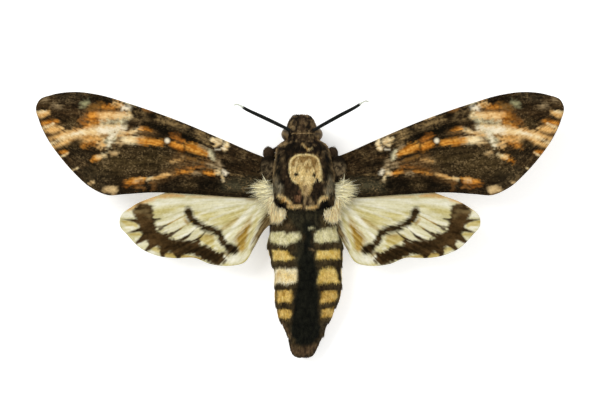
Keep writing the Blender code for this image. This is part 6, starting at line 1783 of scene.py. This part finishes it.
# Locks of each side, from the body's own middle: root x, y and height, direction in degrees, length, hairs
FAN_LOCKS = (
    (8.5, 9.3, 10.9, 52, 1.4, 50), (8.0, 8.7, 10.9, 20, 3.0, 90), (7.6, 8.6, 11.0, 6, 4.4, 150),
    (7.4, 8.2, 11.1, -6, 4.6, 170), (7.3, 7.6, 11.0, -16, 4.4, 150), (7.3, 7.0, 10.8, -28, 3.9, 110),
    (7.2, 6.4, 10.6, -44, 3.4, 80),
)
SIDE_LOCKS = [(6.9, 8.8 - 0.75 * k, 10.8 - 0.1 * k, -66 - 4 * k, 4.2, 60) for k in range(7)]
WAIST_LOCKS = (
    (5.0, 3.2, 10.9, -94, 1.8, 80), (5.6, 3.3, 10.7, -92, 2.5, 110), (6.2, 3.3, 10.4, -88, 2.8, 120),
    (6.8, 3.2, 10.0, -86, 2.5, 110), (7.3, 3.1, 9.6, -80, 1.8, 80),
)
LOCK_END_SPREAD = 0.5
# Of each pair: the darker and the paler end of a lock's hair colour. The darker hairs are partly the locks'
# own ochre and partly painted shade between the locks.
SAGE_HAIR = (tint(196, 180, 112), tint(252, 248, 220))
CREAM_HAIR = (tint(200, 172, 98), tint(255, 246, 212))
PEACH_HAIR = (tint(220, 194, 124), tint(255, 248, 216))
HINGE_CENTRE = (7.9, 13.1, 10.2)
HINGE_RADII = (1.9, 2.8, 1.0)
tuft_paint = hair_paint("silky hair", 0.85, 1.3, 0.6)
for word, side in SIDES.items():
    chance = np.random.default_rng(61)
    roots, ways, lengths, colours = [], [], [], []
    for kind, (dark, light) in ((FAN_LOCKS, SAGE_HAIR), (SIDE_LOCKS, CREAM_HAIR), (WAIST_LOCKS, PEACH_HAIR)):
        for x, y, z, lean, reach, hairs in kind:
            lean = math.radians(lean)
            start = from_axis((x, y, z), side)
            end = start + (side * math.cos(lean) * reach, math.sin(lean) * reach, -0.16 * reach)
            for _ in range(hairs):
                root = start + chance.normal(0, 1, 3) * LOCK_SPREAD
                way = (end + chance.normal(0, LOCK_END_SPREAD, 3) - root) * chance.uniform(0.7, 1.1)
                roots.append(root)
                ways.append(way / np.linalg.norm(way))
                lengths.append(np.linalg.norm(way))
                # Each hair takes a random tone between the two ends, so darker hairs, partly painted shade,
                # lie among the pale ones.
                share = chance.uniform() ** 0.6
                colours.append(np.array(dark) * (1 - share) + np.array(light) * share)
    seeds = bpy.data.meshes.new("tuft roots")
    seeds.from_pydata((np.array(roots) * MM).tolist(), [], [])
    lay(seeds, "lie", np.array(ways), "FLOAT_VECTOR")
    lay(seeds, "up", np.tile((0.0, 0.0, 1.0), (len(roots), 1)), "FLOAT_VECTOR")
    lay(seeds, "hair", np.array(lengths))
    lay(seeds, "coat_colour", np.array(colours), "FLOAT_COLOR")
    lay(seeds, "root_uv", np.array(roots) * 0.03, "FLOAT_VECTOR")
    tuft_roots = put_in_scene(f"wing_tuft_{word}_roots", seeds)
    tuft_sizes = {
        "Length": 0.92 * MM, "Width": 0.11 * MM, "Flatness": 0.05, "Lift": 0.12, "Spread": 0.035,
        "Curl": -0.12, "Segments": 4, "Seed": 3, "Hair": tuft_paint,
    }
    tuft = grow(f"wing_tuft_{word}_hair", tuft_roots, on_points, tuft_sizes)
    bpy.data.objects.remove(tuft_roots)
    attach(tuft, "root")
    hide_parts(f"wing_tuft_{word}")

    centre = from_axis(HINGE_CENTRE, side)
    points, faces = ball(centre, HINGE_RADII, 32, 22)
    hinge_mesh = make_mesh(f"hinge_{word}_skin", points, faces)
    lay(hinge_mesh, "lie", np.tile((side * 0.75, -0.65, 0.0), (len(points), 1)), "FLOAT_VECTOR")
    lay(hinge_mesh, "root_uv", points * 0.03, "FLOAT_VECTOR")
    hinge = put_in_scene(f"hinge_{word}_skin", coat_ready(hinge_mesh, tint(74, 62, 44), 0.8))
    lit = 0.3 + 0.9 * ragged(points[:, 0] + 40, points[:, 1], 0.36, 71)
    mottle = (lit * rise_between(15.0, 13.8, points[:, 1])).clip(0, 1)[:, None]
    hinge_colours = np.array(tint(30, 23, 14)) * (1 - mottle) + np.array(tint(142, 122, 90)) * mottle
    lay(hinge_mesh, "coat_colour", hinge_colours, "FLOAT_COLOR")
    hinge_fur = grow(f"hinge_{word}_fur", hinge, on_skin, small_sizes)
    hinge.data.materials.append(leg_skin)
    for piece in (hinge, hinge_fur):
        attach(piece, "root")
